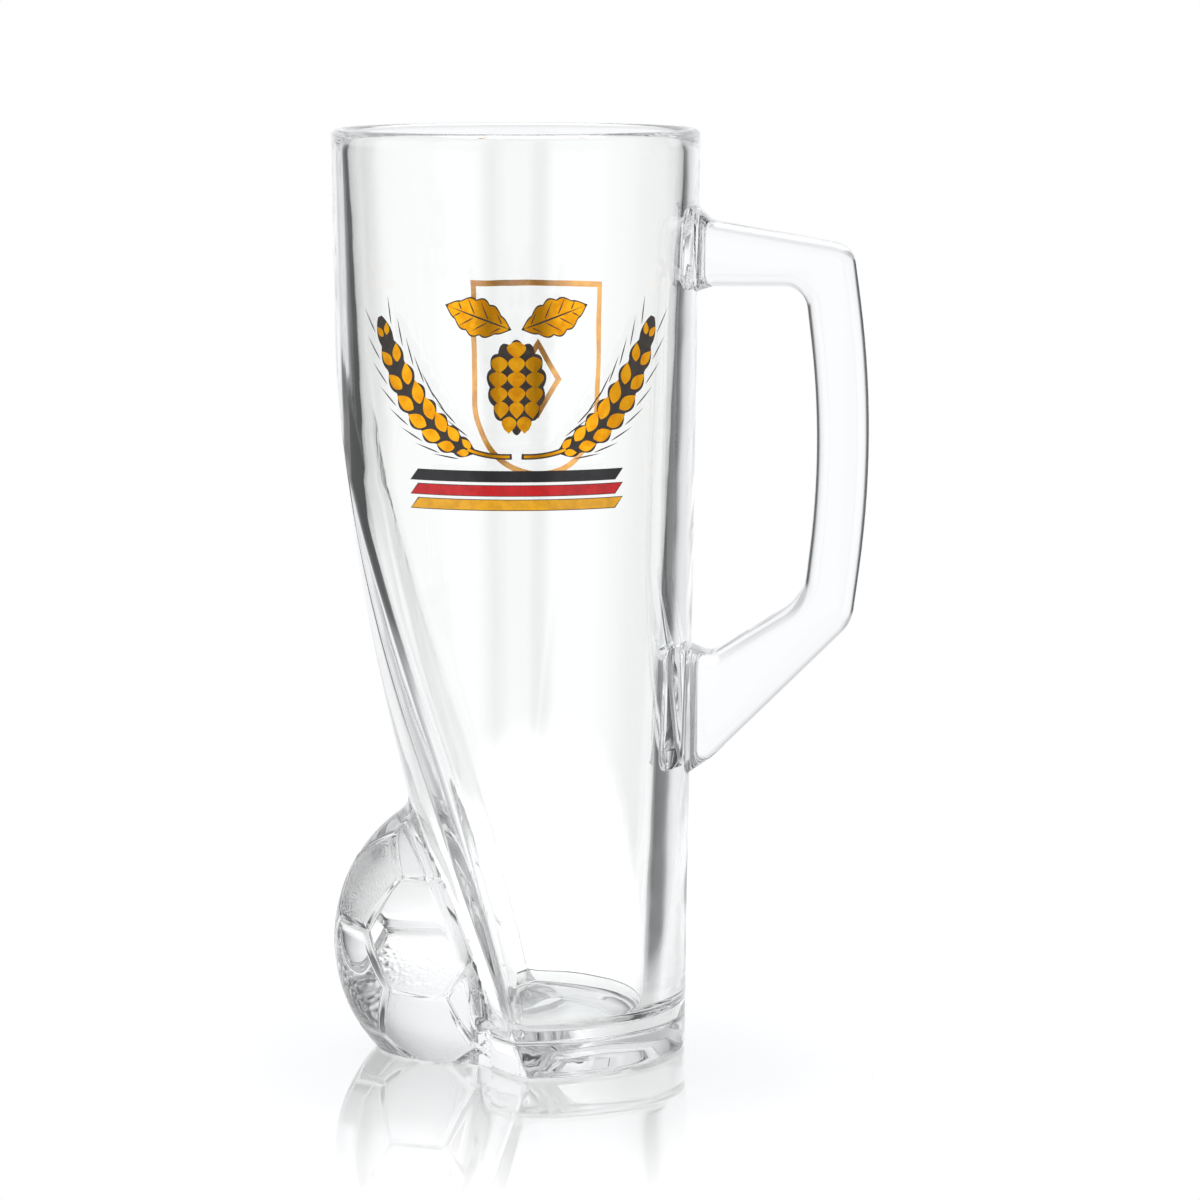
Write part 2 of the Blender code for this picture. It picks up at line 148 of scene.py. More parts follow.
class MugVessel(bpy.types.PropertyGroup):
    """Sizes of the vessel and its foot."""

    height: length("Height", "From the table to the rim", BODY_HIGH.z)
    rim_radius: length("Rim radius", "Outside of the rim", BODY_HIGH.y)
    base_radius: length("Base radius", "Outside at the table", 0.0366)
    rim_wall: length("Rim wall", "Thickness of the wall at the rim", 0.0033)
    floor_thickness: length("Floor", "Glass over the foot, under the cavity", 0.0008)
    floor_radius: length("Floor radius", "Cavity at its floor", 0.0274)
    floor_fillet: length("Floor fillet", "Rounding of the cavity's floor", 0.0036)
    sweep_top: length("Sweep top", "Where the swept side leaves the wall", 0.182)
    sweep_radius: length("Sweep radius", "Arc of the swept side, seen from the front", 0.492)
    sweep_arc: length("Sweep arc", "Height of that arc, over the straight slope", 0.1125)
    plan_rim: length("Plan at the rim", "Radius of the swept side in plan, at the rim", 0.1255)
    plan_base: length("Plan at the table", "Radius of the swept side in plan, at the table", 0.0555)
    swept_wall: length("Swept wall", "Thickness of the swept wall at the table", 0.0050)
    cavity_flatness: length("Cavity flatness", "How much flatter its swept side is in plan", 0.012)
    crease_round: length("Crease rounding", "Rounding of the crease beside the swept side", 0.0009)
    cavity_round: length("Cavity rounding", "Rounding of the crease inside", 0.0022)
    foot_height: length("Foot height", "From the table to the fine groove", FOOT_HIGH.z)
    foot_edge: length("Foot edge", "Rounding of the foot at the table", 0.0009)
    groove: length("Groove", "Depth of the fine groove over the foot", 0.0007)
    land: length("Land", "Width of the ring that stands on the table", 0.0125)
    hollow: length("Hollow", "Depth of the hollow underneath", 0.0012)


class MugFootball(bpy.types.PropertyGroup):
    """Sizes of the football."""

    radius: length("Radius", "Radius of the ball", 0.0345)
    half_width: length("Half width", "From the ball's middle to its front", 0.0300)
    centre_x: length("Centre X", "Where the ball's centre is across", -0.0057)
    centre_z: length("Centre height", "The ball's centre above the table", 0.0236)
    fillet: length("Fillet", "Rounding where the ball meets the swept side", 0.0030)
    seam_depth: length("Seam depth", "How deep the seams between the panels are", 0.00055)
    seam_step: length("Seam step", "Width of one step of the seam's slope", 0.00026)
    bottom_edge: length("Bottom edge", "Rounding of the flat underneath", 0.0006)
    upper_pentagon: heading(
        "Upper pentagon", "Direction of the pentagon beside the swept side",
        (-0.779, -0.447, 0.440),
    )
    lower_pentagon: heading(
        "Lower pentagon", "Direction of the pentagon at the front, near the table",
        (-0.405, -0.774, -0.486),
    )


class MugHandle(bpy.types.PropertyGroup):
    """Sizes of the handle: drops below the rim, depths out from the rim's radius."""

    thickness: length("Thickness", "Across the flat bar", 0.013)
    edge: length("Edge", "Rounding of the bar's edges", 0.003)
    drop: length("Drop", "From the rim to the upper arm", 0.0196)
    arm_height: length("Arm height", "Upper arm at its root", 0.0140)
    arm_fall: length("Arm fall", "How far the upper arm falls to the grip", 0.0053)
    finger_depth: length("Finger depth", "From the wall to the grip", 0.02235)
    grip_width: length("Grip width", "Grip from inside to outside", 0.0105)
    grip_bulge: length("Grip bulge", "How far the grip bows out", 0.0054)
    grip_curve: length("Grip curve", "Rounding along the outside of the grip", 0.220)
    grip_length: length("Grip length", "Inside of the grip", 0.0676)
    grip_overhang: length("Grip overhang", "Outer corner below the inner one", 0.0049)
    opening_bulge: length("Opening bulge", "How far the opening bows out", 0.0040)
    opening_curve: length("Opening curve", "Rounding along the inside of the grip", 0.190)
    lower_rise: length("Lower arm rise", "How far the lower arm rises to the grip", 0.0120)
    lower_root: length("Lower root", "Height of the lower arm's root", 0.0255)
    root_fillet: length("Root fillet", "Rounding where the arms meet the body", 0.0030)
    root_flare: length("Root flare", "How far the roots spread sideways", 0.0024)
    outer_corner: length("Outer corner", "Rounding of the upper outer corner", 0.0050)
    outer_low_corner: length("Outer low corner", "Rounding of the lower outer corner", 0.0090)
    inner_corner: length("Inner corner", "Rounding of the upper inner corner", 0.0048)
    inner_low_corner: length("Inner low corner", "Rounding of the lower inner corner", 0.0105)


class MugPrint(bpy.types.PropertyGroup):
    """Places and sizes of the fired prints."""

    front_z: length("Front height", "Middle of the front print", 0.1465)
    front_turn: turn("Front turn", "Front print, turned towards the handle", 3.0)
    back_z: length("Back height", "Middle of the back print", 0.142)
    back_turn: turn("Back turn", "Back print, turned towards the handle", 5.0)
    ear_width: length("Ear width", "Across an ear of barley", 0.0080)
    ear_grains: repeats("Grains", "Pairs of grains in an ear", 8, 3, 14)
    stem_width: length("Stem width", "Across a barley stem", 0.0012)
    stem_share: portion("Stem share", "Bare part of a stem", 0.22, most=0.6)
    awn_length: length("Awn length", "Bristles of the barley", 0.0062)
    hop_width: length("Hop width", "Across the hop cone", 0.0140)
    hop_height: length("Hop height", "Hop cone from top to tip", 0.0200)
    hop_v: length("Hop place", "Middle of the hop over the middle of the print", 0.0010)
    hop_rows: repeats("Hop rows", "Rows of scales on the hop", 6, 3, 10)
    leaf_length: length("Leaf length", "From the stalk to the tip", 0.0150)
    leaf_width: length("Leaf width", "Across a leaf", 0.0085)
    leaf_teeth: repeats("Leaf teeth", "Teeth on one edge of a leaf", 5, 2, 9)
    leaf_lean: turn("Leaf lean", "How far a leaf points up", 20.0)
    leaf_gap: length("Leaf gap", "From the hop to its leaves", 0.0020)
    stripe_length: length("Stripe length", "Along a stripe", 0.0480)
    stripe_height: length("Stripe height", "Across a stripe", 0.0024)
    stripe_gap: length("Stripe gap", "Between two stripes", 0.0006)
    stripe_top: length("Stripe place", "Top stripe under the middle of the print", 0.0165)
    stripe_slant: length("Stripe slant", "Slant of a stripe's ends", 0.0020)
    shield_width: length("Shield width", "Across the shield on the back", 0.0330)
    shield_height: length("Shield height", "Shield from top to point", 0.0440)
    shield_line: length("Shield line", "Width of the thin line", 0.0013)
    lozenge_width: length("Lozenge width", "Across the lozenge", 0.0120)
    lozenge_height: length("Lozenge height", "Lozenge from point to point", 0.0180)
    ink_edge: length("Ink edge", "Ink that shows around the metal", 0.00032)


class MugLook(bpy.types.PropertyGroup):
    """Colours of the glass and the prints."""

    glass: colour("Glass", "Tint of the pressed glass", (0.985, 0.993, 0.989))
    gold: colour("Gold", "Fired gold", (0.960, 0.445, 0.016))
    gold_shade: colour("Gold shade", "Fired gold where it is thin", (0.850, 0.325, 0.010))
    ink: colour("Ink", "Dark ink under the gold", (0.022, 0.016, 0.012))
    black: colour("Black", "Black enamel", (0.012, 0.012, 0.014))
    red: colour("Red", "Red enamel", (0.640, 0.006, 0.010))
    yellow: colour("Yellow", "Golden yellow enamel", (0.900, 0.430, 0.008))


class MugStage(bpy.types.PropertyGroup):
    """Camera, floor and light."""

    lens: FloatProperty(
        name="Lens", description="Focal length in millimetres", default=153.24, unit="CAMERA",
    )
    distance: length("Distance", "From the camera to the mug", 1.0994)
    camera_height: length("Camera height", "Camera above the table", 0.2369)
    camera_turn: turn("Camera turn", "Camera towards the handle", 2.0)
    aim_across: length("Aim across", "What the camera looks at, across", 0.01805)
    aim_height: length("Aim height", "What the camera looks at, above the table", 0.09801)
    floor_length: length("Floor length", "Where the floor has faded out, before and behind", 0.42)
    floor_width: length("Floor width", "Where the floor has faded out, at the sides", 0.10)
    mirror: portion("Mirror", "Share of the mirror image under the mug", 0.62)
    mirror_radius: length("Mirror radius", "Where the floor's mirror image has faded", 0.210)
    floor: colour("Floor", "Colour of the floor", (0.93, 0.93, 0.93))


# Outlines of the vessel


def outer_radius(v, z):
    """Radius of the upright wall, which is drafted towards the base."""
    return v.base_radius + (v.rim_radius - v.base_radius) * z / v.height


def swept_x(v, z):
    """Where the swept side is: an arc that starts straight down and ends in a straight slope."""
    depth = min(max(v.sweep_top - z, 0.0), v.sweep_arc)
    upright = sqrt(v.sweep_radius ** 2 - depth ** 2)
    slope_length = max(v.sweep_top - v.sweep_arc - z, 0.0)
    return -v.rim_radius + v.sweep_radius - upright + slope_length * depth / upright


def plan_radius(v, z):
    """Radius of the swept side in plan, which gets rounder towards the table."""
    return v.plan_base + (v.plan_rim - v.plan_base) * z / v.height


def swept_gap(v, point):
    """How far a point is outside the swept side, and the way out."""
    low, high = swept_x(v, point.z - v.groove), swept_x(v, point.z + v.groove)
    radius = plan_radius(v, point.z)
    out = Vector((point.x - swept_x(v, point.z) - radius, point.y, 0))
    gap = out.length - radius
    out = out.normalized() + Vector((0, 0, (high - low) / (2 * v.groove)))
    return gap / out.length, out.normalized()


def cavity_floor(v):
    """Height of the floor inside the mug."""
    return v.foot_height + v.floor_thickness


def cavity_radius(v, z):
    """Radius of the drafted cavity."""
    share = (z - cavity_floor(v)) / (v.height - cavity_floor(v))
    return v.floor_radius + (v.rim_radius - v.rim_wall - v.floor_radius) * share


def cavity_swept_x(v, z):
    """Where the cavity's swept side is: the wall thickens towards the base."""
    return swept_x(v, z) + v.rim_wall + (v.swept_wall - v.rim_wall) * (v.height - z) / v.height


def ring(radius, side_x, side_radius, z, rounding):
    """Points around the upright circle, cut at side_x by a flatter circle, with rounded creases."""
    side_x = max(side_x, -radius)
    centre = side_x + side_radius
    crease_x = max((radius ** 2 - side_radius ** 2 + centre ** 2) / (2 * centre), -radius)
    half = max(acos(-crease_x / radius), LEAST_SWEPT_ANGLE)
    spread = asin(radius * sin(half) / side_radius)
    crease = Vector((-radius * cos(half), radius * sin(half), z))

    def round_point(angle):
        return Vector((radius * cos(angle), radius * sin(angle), z))

    def swept_point(angle):
        y = side_radius * sin(angle)
        flat_x = centre - sqrt(side_radius ** 2 - y ** 2)
        return Vector((max(-sqrt(radius ** 2 - y ** 2), flat_x), y, z))

    def eased(start, end):
        shares = [i / (CREASE_STEPS + 1) for i in range(1, CREASE_STEPS + 1)]
        return [start * (1 - t) ** 2 + crease * 2 * t * (1 - t) + end * t ** 2 for t in shares]

    round_end = pi - half - rounding / radius
    swept_end = spread - rounding / side_radius
    points = [round_point(round_end * (2 * i / ROUND_STEPS - 1)) for i in range(ROUND_STEPS + 1)]
    corner = eased(round_point(round_end), swept_point(swept_end))
    points += corner
    points += [swept_point(swept_end * (1 - 2 * i / SWEPT_STEPS)) for i in range(SWEPT_STEPS + 1)]
    points += [Vector((p.x, -p.y, p.z)) for p in reversed(corner)]
    return points


def outer_ring(v, z, grow=0.0):
    """Ring of the outside, grown or shrunk square to itself."""
    side_x, side_radius = swept_x(v, z) - grow, plan_radius(v, z) + grow
    return ring(outer_radius(v, z) + grow, side_x, side_radius, z, v.crease_round)


def cavity_ring(v, z, shrink=0.0):
    """Ring of the cavity, shrunk where its floor is rounded."""
    flat = v.rim_radius - v.rim_wall + v.cavity_flatness - shrink
    side_x = cavity_swept_x(v, z) + shrink
    return ring(cavity_radius(v, z) - shrink, side_x, flat, z, v.cavity_round)


def spaced(low, high, count):
    """Evenly spaced values, both ends included."""
    return [low + (high - low) * i / count for i in range(count + 1)]


def eased_edge(edge, level, way):
    """Heights and insets of an edge rounded at a level: way is 1 at a top and -1 at a bottom."""
    angles = spaced(0, pi / 2, EDGE_STEPS)
    return [(level + way * edge * (sin(a) - 1), edge * (1 - cos(a))) for a in angles]


def foot_levels(v):
    """Heights and insets of the foot's outside, from the table to the groove."""
    return list(reversed(eased_edge(v.foot_edge, 0.0, -1))) + eased_edge(v.groove, v.foot_height, 1)


def body_levels(v):
    """Heights and insets of the body's outside, from the groove to the lip."""
    levels = list(reversed(eased_edge(v.groove, v.foot_height, -1)))
    start = v.foot_height + v.groove
    return levels + [(z, 0.0) for z in spaced(start, v.height - v.rim_wall / 2, WALL_STEPS)[1:]]


# Meshes


def only(kind, geometry):
    """The vertices, edges or faces among what an operator gave back."""
    return [item for item in geometry if isinstance(item, kind)]


def cut(bm, place, normal, **options):
    """Cut a mesh by a plane."""
    everything = bm.verts[:] + bm.edges[:] + bm.faces[:]
    bmesh.ops.bisect_plane(
        bm, geom=everything, plane_co=place, plane_no=normal, dist=CUT_REACH, **options,
    )


def round_edges(bm, edges, radius, steps):
    """Round edges of a mesh."""
    bmesh.ops.bevel(
        bm, geom=edges, offset=radius, affect="EDGES", segments=steps, profile=0.5, material=-1,
        clamp_overlap=True,
    )


def raise_rings(rings, cap_slots):
    """Closed skin: a circle, extruded from ring to ring and filled at both ends."""
    bm = bmesh.new()
    place = bm.verts.layers.int.new("place")
    bmesh.ops.create_circle(bm, segments=len(rings[0]), radius=1.0)
    for i, vert in enumerate(bm.verts):
        vert[place] = i
        vert.co = rings[0][i]
    first = bm.edges[:]
    edges = first
    for points in rings[1:]:
        grown = bmesh.ops.extrude_edge_only(bm, edges=edges)["geom"]
        for vert in only(bmesh.types.BMVert, grown):
            vert.co = points[vert[place]]
        edges = [edge for edge in only(bmesh.types.BMEdge, grown) if edge.is_boundary]
    for loop, slot in zip((first, edges), cap_slots):
        for face in bmesh.ops.edgeloop_fill(bm, edges=loop)["faces"]:
            face.material_index = slot
    return bm


def linked(name, data):
    """A new object in the scene."""
    made = bpy.data.objects.new(name, data)
    bpy.context.scene.collection.objects.link(made)
    return made


def mesh_object(name, bm, *materials):
    """Turn a bmesh into a named object."""
    mesh = bpy.data.meshes.new(name)
    bm.to_mesh(mesh)
    bm.free()
    for material in materials:
        mesh.materials.append(material)
    return linked(name, mesh)


def solid(name, bm, *materials):
    """Turn a bmesh into a named object whose faces point out."""
    bmesh.ops.recalc_face_normals(bm, faces=bm.faces)
    if bm.calc_volume(signed=True) < 0:
        bmesh.ops.reverse_faces(bm, faces=bm.faces)
    return mesh_object(name, bm, *materials)


def discard(made):
    """Remove an object and its mesh."""
    mesh = made.data
    bpy.data.objects.remove(made)
    bpy.data.meshes.remove(mesh)


def carve(piece, *tools):
    """Take tools out of a piece. The cut faces get the tools' own material, and the tools go."""
    for tool in tools:
        modifier = piece.modifiers.new("carve", "BOOLEAN")
        modifier.operation = "DIFFERENCE"
        modifier.solver = "EXACT"
        modifier.material_mode = "TRANSFER"
        modifier.object = tool
    bpy.context.view_layer.update()
    depsgraph = bpy.context.evaluated_depsgraph_get()
    carved = bpy.data.meshes.new_from_object(piece.evaluated_get(depsgraph), depsgraph=depsgraph)
    piece.modifiers.clear()
    whole = piece.data
    name = whole.name
    piece.data = carved
    bpy.data.meshes.remove(whole)
    carved.name = name
    for tool in tools:
        discard(tool)
    return piece


def is_closed(mesh):
    """Whether two faces meet at every edge of a mesh."""
    bm = bmesh.new()
    bm.from_mesh(mesh)
    closed = all(edge.is_manifold for edge in bm.edges)
    bm.free()
    return closed


# Now and then a carved piece comes out open, and is then made again
CARVE_TRIES = 6


def made_closed(make):
    """Make a carved piece, and again if it is open, so that each run gives the same."""
    for _ in range(CARVE_TRIES):
        piece = make()
        if is_closed(piece.data):
            return piece
        discard(piece)
    raise RuntimeError("A carved piece stays open")


def settle(piece, slot, *nodes):
    """Shade a finished piece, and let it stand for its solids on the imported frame."""
    piece.data.shade_smooth()
    piece.data.set_sharp_from_angle(angle=SMOOTH_ANGLE)
    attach(piece, "root")
    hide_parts(*nodes)
    piece.visible_shadow = slot != "clear_glass"


def outside_tool(v, grow):
    """The whole outside of body and foot as one solid, to fit the football and the handle to."""
    levels = foot_levels(v) + body_levels(v)[1:]
    low = levels[0]
    levels = [(low[0] - TOOL_MARGIN, low[1])] + levels + [(v.height + TOOL_MARGIN, 0.0)]
    rings = [outer_ring(v, z, grow - inset) for z, inset in levels]
    return solid("outside", raise_rings(rings, (0, 0)), fused_seam())


def plug_tool(whole, v):
    """What a fused piece takes up in the body's skin: a cut with the seam's own material."""
    carve(whole, outside_tool(v, -SEAM_DEPTH))
    whole.data.materials.clear()
    whole.data.materials.append(fused_seam())
    whole.data.polygons.foreach_set("material_index", [0] * len(whole.data.polygons))
    return whole


# Football


def turn_between(first, second, first_goal, second_goal):
    """Rotation that takes one pair of directions onto another pair."""
    def axes(a, b):
        across = a.cross(b).normalized()
        along = a.normalized()
        return Matrix((along, across.cross(along), across)).transposed()

    return axes(first_goal, second_goal) @ axes(first, second).transposed()


def spread_root(vert, centre, settings):
    """Move a point of the ball that is near the swept side along it, to a fillet all around."""
    ball = settings.mug_football
    gap, out = swept_gap(settings.mug_vessel, vert.co)
    away = vert.co - centre
    away.y *= (ball.radius / ball.half_width) ** 2
    along = away - out * away.dot(out)
    near = ball.fillet - max(gap, 0.0)
    if near <= 0 or gap < -ROOT_REACH or along.length < away.length / 4:
        return
    flare = ball.fillet - sqrt(ball.fillet ** 2 - near ** 2)
    vert.co += along.normalized() * flare * min(1.0, (gap + ROOT_REACH) / (ROOT_REACH / 2))


# Widths in seam steps and depths of the slope from a seam to a panel
SEAM_SLOPE = ((1.0, 0.72), (1.0, 0.30), (1.4, 0.0))

# An icosahedron whose corners are cut off this far, in percent of an edge, is a football
CORNER_CUT = 100 / 3
MERGE_REACH = 0.001

# Edges longer than this many seam steps are divided
LONG_EDGE = 4


def whole_football(settings):
    """Ball of pentagons and hexagons with sunk seams, flat underneath, its pentagons stippled."""
    ball = settings.mug_football
    bm = bmesh.new()
    sunk = bm.verts.layers.float.new("sunk")
    bmesh.ops.create_icosphere(bm, subdivisions=1, radius=1.0)
    corner = bm.verts[:][0]
    first = corner.co.copy()
    second = corner.link_edges[0].other_vert(corner).co.copy()
    bmesh.ops.bevel(
        bm, geom=bm.verts[:], offset=CORNER_CUT, offset_type="PERCENT", affect="VERTICES",
        segments=1, profile=0.5, material=-1, clamp_overlap=False,
    )
    bmesh.ops.remove_doubles(bm, verts=bm.verts[:], dist=MERGE_REACH)
    for vert in bm.verts:
        vert[sunk] = 1.0
    panels = bm.faces[:]
    for panel in panels:
        panel.material_index = 1 if len(panel.verts) == 5 else 0
    for width, depth in SEAM_SLOPE:
        thickness = width * ball.seam_step / ball.radius
        made = bmesh.ops.inset_individual(
            bm, faces=panels, thickness=thickness, use_even_offset=True,
        )
        for face in made["faces"]:
            face.material_index = 0
        for panel in panels:
            for vert in panel.verts:
                vert[sunk] = depth
    bmesh.ops.poke(bm, faces=panels)
    least = LONG_EDGE * ball.seam_step / ball.radius
    long_edges = [edge for edge in bm.edges if edge.calc_length() > least]
    bmesh.ops.subdivide_edges(bm, edges=long_edges, cuts=PANEL_STEPS, use_grid_fill=True)
    upper, lower = Vector(ball.upper_pentagon), Vector(ball.lower_pentagon)
    rotation = turn_between(first, second, upper, lower)
    centre = Vector((ball.centre_x, 0, ball.centre_z))
    for vert in bm.verts:
        outward = rotation @ vert.co.normalized()
        outward.y *= ball.half_width / ball.radius
        vert.co = centre + outward * (ball.radius - ball.seam_depth * vert[sunk])
        spread_root(vert, centre, settings)
    cut(bm, (0, 0, 0), (0, 0, -1), clear_outer=True)
    loop = [edge for edge in bm.edges if edge.is_boundary]
    bmesh.ops.edgeloop_fill(bm, edges=loop)
    round_edges(bm, loop, ball.bottom_edge, BOTTOM_STEPS)
    return solid("football_glass", bm, clear_glass(), stippled_glass())


# Handle


def rounded(corners):
    """Outline through corners (x, z, radius), each rounded by an arc that fits its two sides."""
    outline = []
    for i, (x, z, radius) in enumerate(corners):
        corner = Vector((x, z))
        if radius <= 0:
            outline.append(corner)
            continue
        before = (Vector(corners[i - 1][:2]) - corner).normalized()
        after = (Vector(corners[(i + 1) % len(corners)][:2]) - corner).normalized()
        half = acos(max(-1.0, min(1.0, before.dot(after)))) / 2
        reach = radius / tan(half)
        middle = corner + (before + after).normalized() * radius / sin(half)
        start = corner + before * reach - middle
        sweep = start.angle_signed(corner + after * reach - middle)
        for share in spaced(0, 1, CORNER_STEPS):
            outline.append(middle + Matrix.Rotation(-sweep * share, 2) @ start)
    return outline


def handle_corners(h, v):
    """Corners of the handle's flat outline, with the root ends inside the body."""
    top = v.height - h.drop
    arm_under = top - h.arm_height
    grip_in = v.rim_radius + h.finger_depth
    grip_out = grip_in + h.grip_width
    grip_top = top - h.arm_fall
    grip_low = arm_under - h.grip_length
    outer_low = grip_low - h.grip_overhang
    belly = (grip_top + outer_low) / 2
    opening_belly = (arm_under + grip_low) / 2
    root_low = grip_low - h.lower_rise
    root_end = root_low - h.lower_root
    fillet = h.root_fillet
    wall = outer_radius(v, top)
    inside = v.base_radius - v.rim_wall
    return [
        (inside, top + fillet, 0),
        (wall, top + fillet, 0),
        (wall + fillet, top, fillet),
        (grip_out, grip_top, h.outer_corner),
        (grip_out + h.grip_bulge, belly, h.grip_curve),
        (grip_out, outer_low, h.outer_low_corner),
        (wall + fillet, root_end + fillet, fillet),
        (inside, root_end - fillet, 0),
        (inside, root_low + fillet, 0),
        (wall + fillet, root_low, fillet),
        (grip_in, grip_low, h.inner_low_corner),
        (grip_in + h.opening_bulge, opening_belly, h.opening_curve),
        (grip_in, arm_under, h.inner_corner),
        (wall + fillet, arm_under, fillet),
        (inside, arm_under - fillet, 0),
    ]


def whole_handle(settings):
    """Flat bar bent around the finger opening, with rounded edges and roots that flare out."""
    h, v = settings.mug_handle, settings.mug_vessel
    bm = bmesh.new()
    outline = rounded(handle_corners(h, v))
    flat = bm.faces.new([bm.verts.new((p.x, -h.thickness / 2, p.y)) for p in outline])
    grown = bmesh.ops.extrude_face_region(bm, geom=[flat])["geom"]
    moved = only(bmesh.types.BMVert, grown)
    bmesh.ops.translate(bm, verts=moved, vec=(0, h.thickness, 0))
    bmesh.ops.recalc_face_normals(bm, faces=bm.faces)
    rim = [e for e in bm.edges if abs(e.verts[0].co.y - e.verts[1].co.y) < h.edge / 2]
    round_edges(bm, rim, h.edge, HANDLE_EDGE_STEPS)
    root_end = v.height - h.drop - h.arm_height - h.grip_length - h.lower_rise - h.lower_root
    first, last = outer_radius(v, root_end) - h.root_flare / 2, v.rim_radius + h.root_flare
    for x in spaced(first, last, 2 * ROOT_CUTS):
        cut(bm, (x, 0, 0), (1, 0, 0))
    for vert in bm.verts:
        wall = sqrt(outer_radius(v, vert.co.z) ** 2 - vert.co.y ** 2)
        away = min(max(vert.co.x - wall, 0.0), h.root_flare)
        flare = h.root_flare - sqrt(h.root_flare ** 2 - (h.root_flare - away) ** 2)
        vert.co.y *= 1 + 2 * flare / h.thickness
    return solid("handle_glass", bm, clear_glass())


# Prints


def thicken(bm, layer, faces, slot):
    """Give flat faces the thickness of a layer."""
    grown = bmesh.ops.extrude_face_region(bm, geom=faces)["geom"]
    top = only(bmesh.types.BMVert, grown)
    bmesh.ops.translate(bm, verts=top, vec=(0, 0, layer[1] - layer[0]))
    sides = {face for vert in top for face in vert.link_faces}
    for face in list(sides) + faces:
        if face.is_valid:
            face.material_index = slot


def add_film(bm, layer, outline, slot, holes=()):
    """Closed film over a flat outline, between the two lifts of a layer."""
    edges = []
    for loop in (outline, *holes):
        verts = [bm.verts.new((u, w, layer[0])) for u, w in loop]
        edges += [bm.edges.new((a, b)) for a, b in zip(verts, verts[1:] + verts[:1])]
    filled = bmesh.ops.triangle_fill(
        bm, use_beauty=True, use_dissolve=False, edges=edges, normal=(0, 0, 1),
    )
    thicken(bm, layer, only(bmesh.types.BMFace, filled["geom"]), slot)


# Points of a blade this near to its middle line are its ends
BLADE_END = 1e-6


def add_blade(bm, layer, middle, along, size, slot, taper):
    """Film of a pointed oval, such as a grain. taper moves its widest place to the root."""
    turned = Matrix.Rotation(Vector((1, 0)).angle_signed(along), 4, "Z").inverted()
    verts = bmesh.ops.create_circle(bm, cap_ends=True, segments=BLADE_STEPS, radius=1.0)["verts"]
    for vert in verts:
        width = sin(pi * ((vert.co.x + 1) / 2) ** taper)
        side = 1 if vert.co.y > 0 else -1
        flat = 0.0 if abs(vert.co.y) < BLADE_END else side * width
        vert.co = Vector((vert.co.x * size[0] / 2, flat * size[1] / 2, layer[0]))
    bmesh.ops.transform(bm, matrix=Matrix.Translation((*middle, 0)) @ turned, verts=verts)
    thicken(bm, layer, list({face for vert in verts for face in vert.link_faces}), slot)


def lay_print(name, bm, settings, side, materials, slot, node):
    """Slice flat films and lay them on the glass: side is -1 in front and 1 on the back."""
    p, v = settings.mug_print, settings.mug_vessel
    middle_z, turned = (p.front_z, p.front_turn) if side < 0 else (p.back_z, p.back_turn)
    places = [vert.co.x for vert in bm.verts]
    left, right = min(places), max(places)
    for u in spaced(left, right, max(1, round((right - left) / FILM_STEP)))[1:-1]:
        cut(bm, (u, 0, 0), (1, 0, 0))
    around = outer_radius(v, middle_z)
    for vert in bm.verts:
        u, w, lift = vert.co
        angle = turned - side * u / around
        radius = outer_radius(v, middle_z + w) + lift
        vert.co = Vector((radius * sin(angle), side * radius * cos(angle), middle_z + w))
    settle(solid(name, bm, *materials), slot, node)


def square(along):
    """Direction square to another, to its left."""
    return Vector((-along.y, along.x))


def outline_of(line):
    """Outline around a middle line of points, each with its way to the upper edge."""
    return [point + up for point, up in line] + [point - up for point, up in reversed(line)]


def flipped(bm, way):
    """Mirror a flat film to the left."""
    if way < 0:
        bmesh.ops.scale(bm, vec=(-1, 1, 1), verts=bm.verts)
    return bm


# Middle line of an ear, the depth of its notches and the steps of a grain's edge
EAR_ROOT = Vector((0.0010, -0.0135))
EAR_BEND = Vector((0.0210, -0.0145))
EAR_TIP = Vector((0.0320, 0.0150))
EAR_NOTCH = 0.38
EAR_STEPS = 10

# Shares of the ear where the gold of its stem starts, and that it runs on under the grains
STEM_START = 0.012
STEM_OVERLAP = 0.03
STEM_STEPS = 12

# A grain, in half widths of the ear: its length, width and place across, then its lean and taper
GRAIN_SIZE = (1.28, 0.74)
GRAIN_PLACE = 0.50
GRAIN_LEAN = 0.42
GRAIN_TAPER = 0.8

# A bristle: its width, its place across and along in half widths of the ear, its lean and taper
AWN_WIDTH = 0.00030
AWN_PLACE = 0.92
AWN_START = 0.22
AWN_LEAN = 0.24
AWN_TAPER = 0.7


def ear_point(t):
    """Middle line of an ear: a point and the direction there."""
    point = EAR_ROOT * (1 - t) ** 2 + EAR_BEND * 2 * t * (1 - t) + EAR_TIP * t ** 2
    along = (EAR_BEND - EAR_ROOT) * (1 - t) + (EAR_TIP - EAR_BEND) * t
    return point, along.normalized()


def ear_half_width(p, t, notch):
    """Half the width of an ear at a share of its length."""
    if t <= p.stem_share:
        return p.stem_width / 2
    s = (t - p.stem_share) / (1 - p.stem_share)
    lobes = 1 - notch * (1 - abs(sin(pi * p.ear_grains * s)))
    return p.stem_width / 2 + (p.ear_width - p.stem_width) / 2 * sqrt(max(0.0, sin(pi * s))) * lobes


def ear_outline(shares, half_width):
    """Outline of a stretch of an ear, whose half width changes along it."""
    line = []
    for t in shares:
        point, along = ear_point(t)
        line.append((point, square(along) * half_width(t)))
    return outline_of(line)


